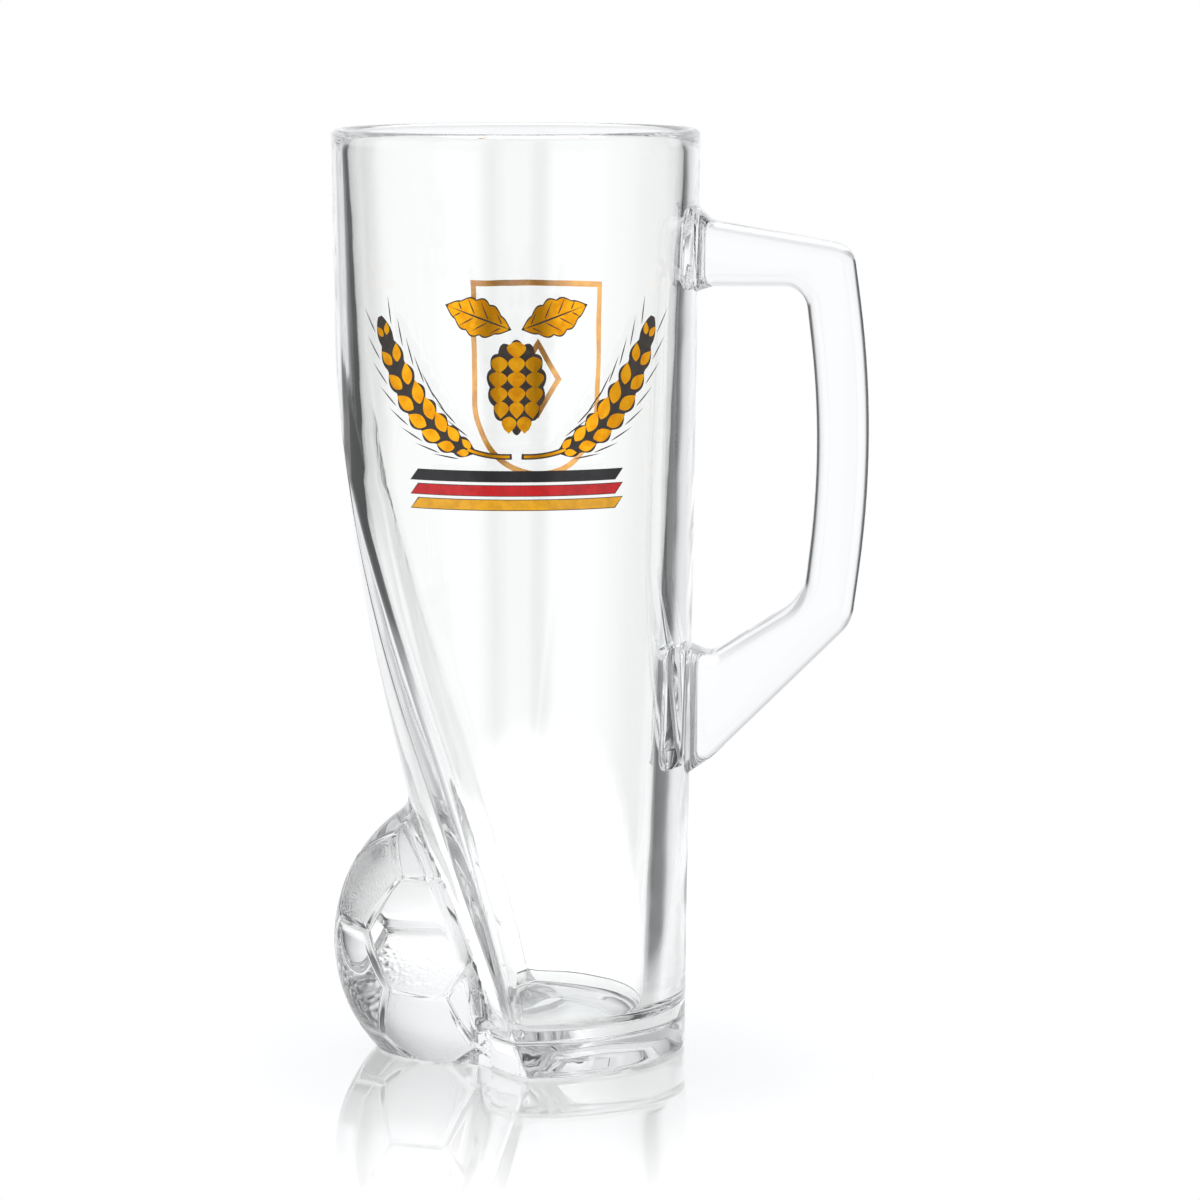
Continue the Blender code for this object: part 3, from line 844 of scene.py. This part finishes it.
def ear_film(p, way):
    """Ear of barley: inked ground, gold stem and grains, and fine bristles."""
    bm = bmesh.new()
    shares = spaced(0, 1, EAR_STEPS * p.ear_grains)
    ground = ear_outline(shares, lambda t: ear_half_width(p, t, EAR_NOTCH))
    add_film(bm, INK_LAYER, ground, INK)
    shares = spaced(STEM_START, p.stem_share + STEM_OVERLAP, STEM_STEPS)
    stem = ear_outline(shares, lambda t: p.stem_width / 2 - p.ink_edge)
    add_film(bm, METAL_LAYER, stem, METAL)
    for k in range(p.ear_grains):
        s = (k + 0.5) / p.ear_grains
        t = p.stem_share + (1 - p.stem_share) * s
        point, along = ear_point(t)
        width = ear_half_width(p, t, 0.0)
        for side in (1, -1):
            across = square(along) * side
            lean = (along + across * GRAIN_LEAN).normalized()
            middle = point + across * width * GRAIN_PLACE
            grain = [width * size for size in GRAIN_SIZE]
            add_blade(bm, METAL_LAYER, middle, lean, grain, METAL, GRAIN_TAPER)
            middle = point + across * width * AWN_PLACE
            middle += lean * (p.awn_length / 2 + width * AWN_START)
            lean = (along + across * AWN_LEAN).normalized()
            add_blade(bm, INK_LAYER, middle, lean, (p.awn_length, AWN_WIDTH), INK, AWN_TAPER)
    return flipped(bm, way)


# Outline of the hop: its scallops with their steps and depth, and how much narrower it gets below
HOP_SCALLOPS = 14
HOP_STEPS = 8
HOP_NOTCH = 0.10
HOP_TAPER = 0.22

# Rows of scales: spare rows, where the first one lies, and the furthest out in half heights
ROW_SPARE = 0.4
ROW_START = 0.72
ROW_END = 0.98

# Scales: how many fit across, how wide one may get, and its length, place, lean and taper
SCALES_ACROSS = 3.4
SCALES_LEAST = 3.2
SCALE_LENGTH = 1.16
SCALE_PLACE = 0.93
SCALE_LEAN = 0.35
SCALE_TAPER = 0.72


def hop_film(p):
    """Hop cone: inked egg with scalloped edges, and rows of gold scales that point down."""
    bm = bmesh.new()
    outline = []
    steps = HOP_STEPS * HOP_SCALLOPS
    for i in range(steps):
        angle = 2 * pi * i / steps
        scallop = 1 - HOP_NOTCH * (1 - abs(sin(HOP_SCALLOPS * angle / 2)))
        narrow = 1 - HOP_TAPER * (1 - sin(angle)) / 2
        u = p.hop_width / 2 * cos(angle) * scallop * narrow
        outline.append((u, p.hop_v + p.hop_height / 2 * sin(angle) * scallop))
    add_film(bm, INK_LAYER, outline, INK)
    pitch = p.hop_height / (p.hop_rows + ROW_SPARE)
    for row in range(p.hop_rows):
        w = p.hop_height / 2 - pitch * (row + ROW_START)
        share = max(-ROW_END, min(ROW_END, 2 * w / p.hop_height))
        half = p.hop_width / 2 * sqrt(1 - share ** 2) * (1 - HOP_TAPER * (1 - share) / 2)
        count = max(1, round(2 * half / (p.hop_width / SCALES_ACROSS)))
        if row % 2 == 0 and count > 1:
            count -= (count % 2 == 0)
        step = 2 * half / count
        scale = (pitch * SCALE_LENGTH, min(step, p.hop_width / SCALES_LEAST) - p.ink_edge)
        for i in range(count):
            u = -half + step * (i + 0.5)
            middle = Vector((u * SCALE_PLACE, p.hop_v + w))
            lean = Vector((u * SCALE_LEAN / p.hop_width, -1)).normalized()
            add_blade(bm, METAL_LAYER, middle, lean, scale, METAL, SCALE_TAPER)
    return bm


# Outline of a leaf: its teeth's depth and steps, how far its ends draw in, and their half width
LEAF_NOTCH = 0.16
LEAF_STEPS = 10
LEAF_END = 2.2
LEAF_POINT = 0.00002

# Veins: their width, and the middle one's length and width as shares of the leaf and of that width
VEIN_WIDTH = 0.00026
MIDRIB_LENGTH = 0.92
MIDRIB_WIDTH = 1.5
MIDRIB_TAPER = 0.7

# Side veins: their start in teeth, where their length is taken, their gap, place, lean and taper
VEIN_START = 0.25
VEIN_AHEAD = 0.08
VEIN_GAP = 0.00030
VEIN_PLACE = 0.52
VEIN_LEAN = 1.1
VEIN_TAPER = 0.6


def leaf_film(p, way):
    """Toothed leaf that grows from the hop's top: inked ground, gold blade and dark veins."""
    bm = bmesh.new()
    base = Vector((p.leaf_gap / 2, p.hop_v + p.hop_height / 2 + p.leaf_gap))
    along = Vector((cos(p.leaf_lean), sin(p.leaf_lean)))
    across = square(along)

    def outline(inset):
        line = []
        start = LEAF_END * inset / p.leaf_length
        for t in spaced(start, 1 - start, LEAF_STEPS * p.leaf_teeth):
            notch = 1 - LEAF_NOTCH * (1 - abs(sin(pi * p.leaf_teeth * t)))
            half = max(p.leaf_width / 2 * sin(pi * t) * notch - inset, LEAF_POINT)
            line.append((base + along * p.leaf_length * t, across * half))
        return outline_of(line)

    add_film(bm, INK_LAYER, outline(0.0), INK)
    add_film(bm, METAL_LAYER, outline(p.ink_edge), METAL)
    middle = base + along * p.leaf_length * 0.5
    midrib = (p.leaf_length * MIDRIB_LENGTH, VEIN_WIDTH * MIDRIB_WIDTH)
    add_blade(bm, LINE_LAYER, middle, along, midrib, INK, MIDRIB_TAPER)
    for k in range(1, p.leaf_teeth):
        t = (k - VEIN_START) / p.leaf_teeth
        reach = p.leaf_width / 2 * sin(pi * (t + VEIN_AHEAD))
        for side in (1, -1):
            lean = (along + across * side * VEIN_LEAN).normalized()
            place = base + along * p.leaf_length * t + across * side * VEIN_GAP
            place += lean * reach * VEIN_PLACE
            add_blade(bm, LINE_LAYER, place, lean, (reach, VEIN_WIDTH), INK, VEIN_TAPER)
    return flipped(bm, way)


# How far a stripe's ends draw in for each step its sides do, and the ink that shows around it
STRIPE_END = 1.5
STRIPE_EDGE = 0.5


def stripe_film(p, row):
    """One plain stripe with slanted ends and a fine inked edge, counted from the top."""
    bm = bmesh.new()
    top = -p.stripe_top - row * (p.stripe_height + p.stripe_gap)

    def outline(inset):
        low, high = top - p.stripe_height + inset, top - inset
        half = p.stripe_length / 2 - inset * STRIPE_END
        short = half - p.stripe_slant
        return [(-half, low), (short, low), (half, high), (-short, high)]

    add_film(bm, INK_LAYER, outline(0.0), INK)
    add_film(bm, METAL_LAYER, outline(p.ink_edge * STRIPE_EDGE), METAL)
    return bm


# The shield's straight sides end at its height over this, under its middle, and a bow follows
SHIELD_WAIST = 10
SHIELD_STEPS = 20


def shield_outline(p, inset):
    """Plain shield: straight top and sides, and a bow that comes to a point below."""
    half = p.shield_width / 2 - inset
    top = p.shield_height / 2 - inset
    waist = -p.shield_height / SHIELD_WAIST
    point = inset - p.shield_height / 2
    angles = spaced(0, pi / 2, SHIELD_STEPS)[:-1]
    bow = [(half * cos(a), waist + (point - waist) * sin(a)) for a in angles]
    return [(-half, top), (half, top)] + bow + [(0, point)] + [(-u, w) for u, w in reversed(bow)]


def lozenge_outline(p, inset):
    """Upright lozenge in the middle of the shield."""
    slope = hypot(p.lozenge_width, p.lozenge_height)
    half_u = p.lozenge_width / 2 - inset * slope / p.lozenge_height
    half_w = p.lozenge_height / 2 - inset * slope / p.lozenge_width
    return [(half_u, 0), (0, half_w), (-half_u, 0), (0, -half_w)]


# Materials


def feed(tree, node, inputs):
    """Set a value or lead a link into each named input of a node."""
    for socket, value in inputs.items():
        if isinstance(value, bpy.types.NodeSocket):
            tree.links.new(value, node.inputs[socket])
        else:
            node.inputs[socket].default_value = value
    return node


def add_node(tree, kind, inputs=None, **traits):
    """A shader node with its traits and inputs."""
    node = tree.nodes.new("ShaderNode" + kind)
    for trait, value in traits.items():
        setattr(node, trait, value)
    return feed(tree, node, inputs or {})


def maths(tree, operation, *values):
    """Work out one value from others."""
    return add_node(tree, "Math", dict(enumerate(values)), operation=operation).outputs[0]


def blend(tree, factor, first, second):
    """Mix two shaders."""
    return add_node(tree, "MixShader", {"Fac": factor, 1: first, 2: second}).outputs["Shader"]


def noise(tree, where, detail, scale):
    """Noise over the object's own coordinates."""
    inputs = {"Vector": where, "Detail": detail, "Scale": scale}
    return add_node(tree, "TexNoise", inputs).outputs["Fac"]


def bump(tree, height, strength, distance):
    """Normal of a surface with a height."""
    inputs = {"Strength": strength, "Distance": distance, "Height": height}
    return add_node(tree, "Bump", inputs).outputs["Normal"]


def new_group(name, inputs, outputs):
    """A shader node group: its tree, what it is given, the place on the object, and its results."""
    tree = bpy.data.node_groups.new(name, "ShaderNodeTree")
    sockets = [(socket, "INPUT") for socket in inputs] + [(socket, "OUTPUT") for socket in outputs]
    for socket, way in sockets:
        made = tree.interface.new_socket(name=socket, in_out=way, socket_type="NodeSocketFloat")
        if way == "INPUT":
            made.default_value = inputs[socket]
    given = tree.nodes.new("NodeGroupInput").outputs
    results = tree.nodes.new("NodeGroupOutput")
    return tree, given, add_node(tree, "TexCoord").outputs["Object"], results


# Fine pits of a fired film, and what part of its noise runs from thick to thin
PIT_SCALE = 2600.0
THIN_START = 0.38
THIN_END = 0.68


def ripple_group():
    """Soft waves of pressed glass, and the grain of its stippled panels."""
    name = "pressed_ripple"
    if name not in bpy.data.node_groups:
        inputs = {"Wave Scale": 60.0, "Grain Scale": 1500.0, "Grain": 0.0}
        tree, given, where, results = new_group(name, inputs, ("Height",))
        wave = noise(tree, where, 1.0, given["Wave Scale"])
        inputs = {"Vector": where, "Scale": given["Grain Scale"]}
        cells = add_node(tree, "TexVoronoi", inputs, feature="SMOOTH_F1").outputs["Distance"]
        grain = maths(tree, "MULTIPLY", cells, given["Grain"])
        feed(tree, results, {"Height": maths(tree, "ADD", wave, grain)})
    return bpy.data.node_groups[name]


def fired_group():
    """Uneven film of a fired print: a mask of thick and thin, and fine pits."""
    name = "fired_film"
    if name not in bpy.data.node_groups:
        tree, given, where, results = new_group(name, {"Scale": 400.0}, ("Thin", "Height"))
        patches = noise(tree, where, 3.0, given["Scale"])
        inputs = {"From Min": THIN_START, "From Max": THIN_END, "Value": patches}
        thin = add_node(tree, "MapRange", inputs).outputs["Result"]
        feed(tree, results, {"Thin": thin, "Height": noise(tree, where, 2.0, PIT_SCALE)})
    return bpy.data.node_groups[name]


def new_material(name):
    """A fresh material with its tree and its shader, or the one that is there already."""
    material = bpy.data.materials.get(name)
    if material:
        return material, None, None
    material = bpy.data.materials.new(name)
    material.use_nodes = True
    return material, material.node_tree, material.node_tree.nodes["Principled BSDF"]


# Soda-lime glass, and the scales of its waves and of the stippling
GLASS_IOR = 1.51
WAVE_SCALE = 75.0
GRAIN_SCALE = 2400.0

# How much rougher a fired film is where it is thin, and the strength and depth of its pits
THIN_ROUGHNESS = 0.10
PIT_STRENGTH = 0.5
PIT_DEPTH = 0.000010


def glass_material(name, roughness, grain, depth):
    """Clear glass with the soft waves of pressing."""
    material, tree, shader = new_material(name)
    if tree:
        inputs = {"Wave Scale": WAVE_SCALE, "Grain Scale": GRAIN_SCALE, "Grain": grain}
        ripple = add_node(tree, "Group", inputs, node_tree=ripple_group())
        feed(tree, shader, {
            "Base Color": (*bpy.context.scene.mug_look.glass, 1.0),
            "Roughness": roughness,
            "IOR": GLASS_IOR,
            "Transmission Weight": 1.0,
            "Normal": bump(tree, ripple.outputs["Height"], 1.0, depth),
        })
    return material


def clear_glass():
    """Fire-polished glass."""
    return glass_material("clear_glass_polished", roughness=0.0, grain=0.0, depth=0.00006)


def stippled_glass():
    """Glass of the stippled panels."""
    return glass_material("clear_glass_stippled", roughness=0.14, grain=0.60, depth=0.00012)


def fused_seam():
    """Inside of a fused join, where one form runs on into the next and nothing shows."""
    material, tree, shader = new_material("fused_seam")
    if tree:
        shader.inputs["Alpha"].default_value = 0.0
    return material


def film_material(name, thick, thin, metallic, roughness, scale):
    """Fired film: two shades of its colour, uneven gloss and fine pits."""
    material, tree, shader = new_material(name)
    if tree:
        film = add_node(tree, "Group", {"Scale": scale}, node_tree=fired_group()).outputs
        shades = {"A": (*thick, 1.0), "B": (*thin, 1.0), "Factor": film["Thin"]}
        gloss = {"To Min": roughness, "To Max": roughness + THIN_ROUGHNESS, "Value": film["Thin"]}
        feed(tree, shader, {
            "Base Color": add_node(tree, "Mix", shades, data_type="RGBA").outputs["Result"],
            "Roughness": add_node(tree, "MapRange", gloss).outputs["Result"],
            "Metallic": metallic,
            "Normal": bump(tree, film["Height"], PIT_STRENGTH, PIT_DEPTH),
        })
    return material


def gold_films():
    """Dark ink, and the fired gold on it."""
    look = bpy.context.scene.mug_look
    return ink_film(), film_material(
        "gold_film", look.gold, look.gold_shade, metallic=1.0, roughness=0.16, scale=420.0,
    )


def ink_film():
    """Dark ink under and around the gold."""
    ink = Vector(bpy.context.scene.mug_look.ink)
    return film_material("ink_film", ink, ink * 2.2, metallic=0.0, roughness=0.30, scale=700.0)


def enamel_film(name, shade):
    """Coloured enamel."""
    shade = Vector(shade)
    return film_material(name, shade, shade * 0.78, metallic=0.0, roughness=0.22, scale=520.0)


# Operators


class MUG_OT_football(bpy.types.Operator):
    """Make the football and fit it to the swept side"""

    bl_idname = "mug.football"
    bl_label = "Football"

    def execute(self, context):
        settings = context.scene
        ball = carve(whole_football(settings), outside_tool(settings.mug_vessel, 0.0))
        settle(ball, "clear_glass", "football")
        return {"FINISHED"}


class MUG_OT_handle(bpy.types.Operator):
    """Make the handle and fit its roots to the body"""

    bl_idname = "mug.handle"
    bl_label = "Handle"

    def execute(self, context):
        settings = context.scene
        handle = carve(whole_handle(settings), outside_tool(settings.mug_vessel, 0.0))
        settle(handle, "clear_glass", "handle")
        return {"FINISHED"}


class MUG_OT_foot(bpy.types.Operator):
    """Make the foot with its hollow underside and the fine groove"""

    bl_idname = "mug.foot"
    bl_label = "Foot"

    def execute(self, context):
        settings = context.scene
        v = settings.mug_vessel
        hollow = [p + Vector((0, 0, v.hollow)) for p in outer_ring(v, 0.0, -v.land - 2 * v.hollow)]
        rings = [hollow, outer_ring(v, 0.0, -v.land)]
        rings += [outer_ring(v, z, -inset) for z, inset in foot_levels(v)]

        def make():
            foot = solid("foot_glass", raise_rings(rings, (0, 1)), clear_glass(), fused_seam())
            # The plug runs past the table, so that no two faces lie in one plane
            plug = plug_tool(whole_football(settings), v)
            for vert in plug.data.vertices:
                if vert.co.z < SEAM_DEPTH:
                    vert.co.z = -TOOL_MARGIN
            return carve(foot, plug)

        settle(made_closed(make), "clear_glass", "foot")
        return {"FINISHED"}


class MUG_OT_body(bpy.types.Operator):
    """Make the vessel: outside up, over the lip, and down the cavity to its rounded floor"""

    bl_idname = "mug.body"
    bl_label = "Glass body"

    def execute(self, context):
        settings = context.scene
        v = settings.mug_vessel
        rings = [outer_ring(v, z, -inset) for z, inset in body_levels(v)]
        lip = v.rim_wall / 2
        shoulder = v.height - lip
        for angle in spaced(0, pi, LIP_STEPS)[1:-1]:
            radius = v.rim_radius - lip + lip * cos(angle)
            z = shoulder + lip * sin(angle)
            rings.append(ring(radius, -radius, v.plan_rim, z, v.crease_round))
        fillet_top = cavity_floor(v) + v.floor_fillet
        rings += [cavity_ring(v, z) for z in reversed(spaced(fillet_top, shoulder, WALL_STEPS))]
        for angle in spaced(0, pi / 2, FILLET_STEPS)[1:]:
            z = fillet_top - v.floor_fillet * sin(angle)
            rings.append(cavity_ring(v, z, v.floor_fillet * (1 - cos(angle))))

        def make():
            body = solid("body_glass", raise_rings(rings, (1, 0)), clear_glass(), fused_seam())
            ball = plug_tool(whole_football(settings), v)
            handle = plug_tool(whole_handle(settings), v)
            return carve(body, ball, handle)

        settle(made_closed(make), "clear_glass", "glass_body")
        return {"FINISHED"}


class MUG_OT_barley(bpy.types.Operator):
    """Print the two ears of barley"""

    bl_idname = "mug.barley"
    bl_label = "Barley"

    def execute(self, context):
        settings = context.scene
        for name, way in SIDES:
            bm = ear_film(settings.mug_print, way)
            lay_print("barley_" + name, bm, settings, -1, gold_films(), "fired_gold", "ear_" + name)
        return {"FINISHED"}


class MUG_OT_hop(bpy.types.Operator):
    """Print the hop cone and its two leaves"""

    bl_idname = "mug.hop"
    bl_label = "Hop"

    def execute(self, context):
        settings = context.scene
        films = gold_films()
        bm = hop_film(settings.mug_print)
        lay_print("hop", bm, settings, -1, films, "fired_gold", "hop_cone")
        for name, way in SIDES:
            bm = leaf_film(settings.mug_print, way)
            lay_print("hop_leaf_" + name, bm, settings, -1, films, "fired_gold", "leaf_" + name)
        return {"FINISHED"}


class MUG_OT_stripes(bpy.types.Operator):
    """Print the three plain stripes"""

    bl_idname = "mug.stripes"
    bl_label = "Stripes"

    def execute(self, context):
        settings = context.scene
        look = settings.mug_look
        rows = (
            ("black", enamel_film("black_film", look.black), "black_enamel"),
            ("red", enamel_film("red_film", look.red), "red_enamel"),
            ("gold", enamel_film("yellow_film", look.yellow), "yellow_enamel"),
        )
        for row, (name, material, slot) in enumerate(rows):
            bm = stripe_film(settings.mug_print, row)
            films = (ink_film(), material)
            lay_print("band_" + name, bm, settings, -1, films, slot, "stripe_" + name)
        return {"FINISHED"}


class MUG_OT_back(bpy.types.Operator):
    """Print the thin shield and lozenge on the back"""

    bl_idname = "mug.back"
    bl_label = "Back outline"

    def execute(self, context):
        settings = context.scene
        p = settings.mug_print
        layer = (INK_LAYER[0], METAL_LAYER[1])
        for name, outline in (("shield", shield_outline), ("lozenge", lozenge_outline)):
            bm = bmesh.new()
            add_film(bm, layer, outline(p, 0.0), 0, [outline(p, p.shield_line)])
            films = gold_films()[METAL:]
            lay_print(name + "_line", bm, settings, 1, films, "fired_gold", "back_" + name)
        return {"FINISHED"}


# Stage


# The floor under the glass, and where it begins to fade, as a share of its reach
FLOOR_GAP = 0.0003
FLOOR_FADE = 0.55

# Where the floor's mirror image begins to fade, and how blurred it is
MIRROR_FADE = 0.03
MIRROR_ROUGHNESS = 0.03


def mirror_floor(stage):
    """White floor: a mirror image near the mug fades out, and the rim fades into the background."""
    material = bpy.data.materials.new("studio_floor")
    material.use_nodes = True
    tree = material.node_tree
    tree.nodes.clear()

    def fade(vector, inner, outer):
        reach = add_node(tree, "VectorMath", {0: vector}, operation="LENGTH").outputs["Value"]
        ends = {"From Min": inner, "From Max": outer, "To Min": 1.0, "To Max": 0.0, "Value": reach}
        return add_node(tree, "MapRange", ends, interpolation_type="SMOOTHSTEP").outputs["Result"]

    where = add_node(tree, "TexCoord").outputs["Object"]
    white = add_node(tree, "BsdfDiffuse", {"Color": (*stage.floor, 1.0)}).outputs["BSDF"]
    mirror = add_node(tree, "BsdfGlossy", {"Roughness": MIRROR_ROUGHNESS}).outputs["BSDF"]
    clear = add_node(tree, "BsdfTransparent").outputs["BSDF"]
    near = fade(where, MIRROR_FADE, stage.mirror_radius)
    ground = blend(tree, maths(tree, "MULTIPLY", stage.mirror, near), white, mirror)
    narrow = {0: where, 1: (1 / stage.floor_width, 1 / stage.floor_length, 1.0)}
    oval = add_node(tree, "VectorMath", narrow, operation="MULTIPLY").outputs["Vector"]
    shown = fade(oval, FLOOR_FADE, 1.0)
    add_node(tree, "OutputMaterial", {"Surface": blend(tree, shown, clear, ground)})
    return material


# The studio around the mug, in bands from the floor up: where a band ends (height over distance),
# and its brightness at turns in degrees from straight behind the mug, to the right
STUDIO_BANDS = (
    (-0.55, ((-180, 1.0), (180, 1.0))),
    (-0.30, (
        (-180, 0.55), (-140, 0.50), (-115, 1.00), (-92, 1.20), (-75, 1.00), (-55, 0.65),
        (-40, 0.55), (-25, 0.60), (-10, 0.85), (5, 0.95), (20, 0.65), (40, 0.62), (60, 0.80),
        (80, 0.90), (105, 0.65), (140, 0.45), (180, 0.55),
    )),
    (0.05, (
        (-180, 0.80), (-172, 0.80), (-169, 0.26), (-163, 0.26), (-156, 1.25), (-110, 1.15),
        (-92, 0.85), (-76, 0.25), (-68, 0.08), (-40, 0.10), (-34, 0.25), (-31, 0.72), (-26, 0.95),
        (-10, 1.03), (12, 1.03), (20, 0.96), (27, 0.76), (31, 0.46), (34, 0.20), (38, 0.10),
        (51, 0.10), (56, 0.50), (60, 0.95), (74, 0.95), (82, 0.80), (114, 0.78), (121, 1.20),
        (152, 1.20), (160, 0.26), (167, 0.26), (170, 0.80), (180, 0.80),
    )),
    (0.35, (
        (-180, 0.30), (-140, 0.30), (-120, 0.20), (-92, 0.20), (-75, 0.50), (-60, 0.75),
        (-45, 0.52), (-32, 0.50), (-22, 0.80), (-13, 1.00), (13, 1.00), (30, 0.88), (38, 0.60),
        (44, 0.32), (60, 0.28), (80, 0.40), (120, 0.50), (150, 0.40), (180, 0.30),
    )),
    (1.00, (
        (-180, 0.05), (-105, 0.10), (-75, 0.55), (-45, 0.78), (0, 0.85), (30, 0.70), (60, 0.25),
        (90, 0.08), (180, 0.05),
    )),
)
STUDIO_BLEND = 0.05
STUDIO_TINT = Vector((0.974, 0.980, 1.0))

# Faces that a look through one wall of glass crosses
ONE_WALL = 2


def studio_world(scene):
    """White to the camera and straight through the vessel. Else a bright back and dark gaps."""
    world = bpy.data.worlds.new("studio")
    world.use_nodes = True
    tree = world.node_tree
    tree.nodes.clear()
    direction = add_node(tree, "TexCoord").outputs["Generated"]
    parts = add_node(tree, "SeparateXYZ", {0: direction}).outputs
    around = maths(tree, "ARCTAN2", parts["X"], parts["Y"])
    place = maths(tree, "MULTIPLY_ADD", around, 0.5 / pi, 0.5)

    def band_colour(turns):
        node = add_node(tree, "ValToRGB", {"Fac": place})
        elements = node.color_ramp.elements
        for element, (degrees, bright) in zip(elements, (turns[0], turns[-1])):
            element.position = degrees / 360 + 0.5
            element.color = (*(STUDIO_TINT * bright), 1.0)
        for degrees, bright in turns[1:-1]:
            elements.new(degrees / 360 + 0.5).color = (*(STUDIO_TINT * bright), 1.0)
        return node.outputs["Color"]

    shown = band_colour(STUDIO_BANDS[0][1])
    for (end, _), (_, turns) in zip(STUDIO_BANDS, STUDIO_BANDS[1:]):
        ends = {"From Min": end - STUDIO_BLEND, "From Max": end + STUDIO_BLEND, "Value": parts["Z"]}
        over = add_node(tree, "MapRange", ends, interpolation_type="SMOOTHSTEP").outputs["Result"]
        layers = {"Factor": over, "A": shown, "B": band_colour(turns)}
        shown = add_node(tree, "Mix", layers, data_type="RGBA").outputs["Result"]

    light = add_node(tree, "Background", {"Color": shown}).outputs["Background"]
    white = add_node(tree, "Background", {"Color": (1.0, 1.0, 1.0, 1.0)}).outputs["Background"]
    rays = add_node(tree, "LightPath").outputs
    straight = maths(tree, "LESS_THAN", rays["Glossy Depth"], 0.5)
    through = maths(tree, "GREATER_THAN", rays["Transmission Depth"], ONE_WALL + 0.5)
    both = maths(tree, "MULTIPLY", straight, through)
    pick = blend(tree, maths(tree, "MAXIMUM", rays["Is Camera Ray"], both), light, white)
    add_node(tree, "OutputWorld", {"Surface": pick})
    scene.world = world


# Lamps: their names, places, aims, sizes and powers
LAMPS = (
    ("key", (-1.1, -1.0, 1.2), (0, 0, 0.1), (0.8, 1.0), 16.0),
    ("fill", (1.2, -0.9, 1.1), (0, 0, 0.1), (0.7, 1.0), 11.5),
    ("top", (0, 0.3, 1.6), (0, 0, 0), (1.2, 1.2), 18.5),
)
SENSOR_WIDTH = 36.0
CLIP_START = 0.01

# Bounces of light that the thick glass needs
BOUNCES = 96
GLASS_BOUNCES = 64


def aimed(name, data, place, aim):
    """A camera or lamp at a place, turned to what it looks at."""
    made = linked(name, data)
    made.location = place
    made.rotation_mode = "QUATERNION"
    made.rotation_quaternion = (Vector(aim) - Vector(place)).to_track_quat("-Z", "Y")
    return made


def add_lamp(name, place, aim, size, power):
    """Large soft lamp that the glass doesn't mirror: the studio's own softboxes do that."""
    data = bpy.data.lights.new(name, "AREA")
    data.shape = "RECTANGLE"
    data.size, data.size_y = size
    data.energy = power
    lamp = aimed(name, data, place, aim)
    lamp.visible_glossy = False
    lamp.visible_transmission = False


class MUG_OT_stage(bpy.types.Operator):
    """Set up the camera, the floor and the light"""

    bl_idname = "mug.stage"
    bl_label = "Stage"

    def execute(self, context):
        scene = context.scene
        stage = scene.mug_stage
        across = Vector((cos(stage.camera_turn), sin(stage.camera_turn), 0))
        back = Vector((sin(stage.camera_turn), -cos(stage.camera_turn), 0))
        middle = across * stage.aim_across
        aim = middle + Vector((0, 0, stage.aim_height))
        place = middle + back * stage.distance + Vector((0, 0, stage.camera_height))
        data = bpy.data.cameras.new("camera")
        data.lens = stage.lens
        data.sensor_width = SENSOR_WIDTH
        data.clip_start = CLIP_START
        scene.camera = aimed("camera", data, place, aim)

        bm = bmesh.new()
        bmesh.ops.create_circle(bm, cap_ends=True, segments=FLOOR_STEPS, radius=stage.floor_length)
        bmesh.ops.translate(bm, verts=bm.verts, vec=(0, 0, -FLOOR_GAP))
        floor = mesh_object("floor", bm, mirror_floor(stage))

        studio_world(scene)
        for lamp in LAMPS:
            add_lamp(*lamp)

        scene.view_settings.view_transform = "Standard"
        scene.cycles.max_bounces = BOUNCES
        scene.cycles.transmission_bounces = GLASS_BOUNCES
        scene.cycles.glossy_bounces = GLASS_BOUNCES
        scene.cycles.transparent_max_bounces = GLASS_BOUNCES
        return {"FINISHED"}


class MUG_PT_sidebar(bpy.types.Panel):
    """Lists what makes the mug"""

    bl_idname = "MUG_PT_sidebar"
    bl_label = "Football mug"
    bl_space_type = "VIEW_3D"
    bl_region_type = "UI"
    bl_category = "Mug"

    def draw(self, context):
        for operator in OPERATORS:
            self.layout.operator(operator.bl_idname)


OPERATORS = (
    MUG_OT_stage, MUG_OT_football, MUG_OT_handle, MUG_OT_foot, MUG_OT_body,
    MUG_OT_barley, MUG_OT_hop, MUG_OT_stripes, MUG_OT_back,
)
SETTINGS = (
    ("mug_vessel", MugVessel), ("mug_football", MugFootball), ("mug_handle", MugHandle),
    ("mug_print", MugPrint), ("mug_look", MugLook), ("mug_stage", MugStage),
)


def register():
    """Make the settings, the operators and the panel known."""
    for name, group in SETTINGS:
        bpy.utils.register_class(group)
        setattr(bpy.types.Scene, name, PointerProperty(type=group))
    for operator in (*OPERATORS, MUG_PT_sidebar):
        bpy.utils.register_class(operator)


def unregister():
    """Take them all back."""
    for operator in reversed((*OPERATORS, MUG_PT_sidebar)):
        bpy.utils.unregister_class(operator)
    for name, group in reversed(SETTINGS):
        delattr(bpy.types.Scene, name)
        bpy.utils.unregister_class(group)


def main():
    """Make everything in order."""
    register()
    bpy.ops.mug.stage()
    bpy.ops.mug.football()
    bpy.ops.mug.handle()
    bpy.ops.mug.foot()
    bpy.ops.mug.body()
    bpy.ops.mug.barley()
    bpy.ops.mug.hop()
    bpy.ops.mug.stripes()
    bpy.ops.mug.back()


if __name__ == "__main__":
    main()
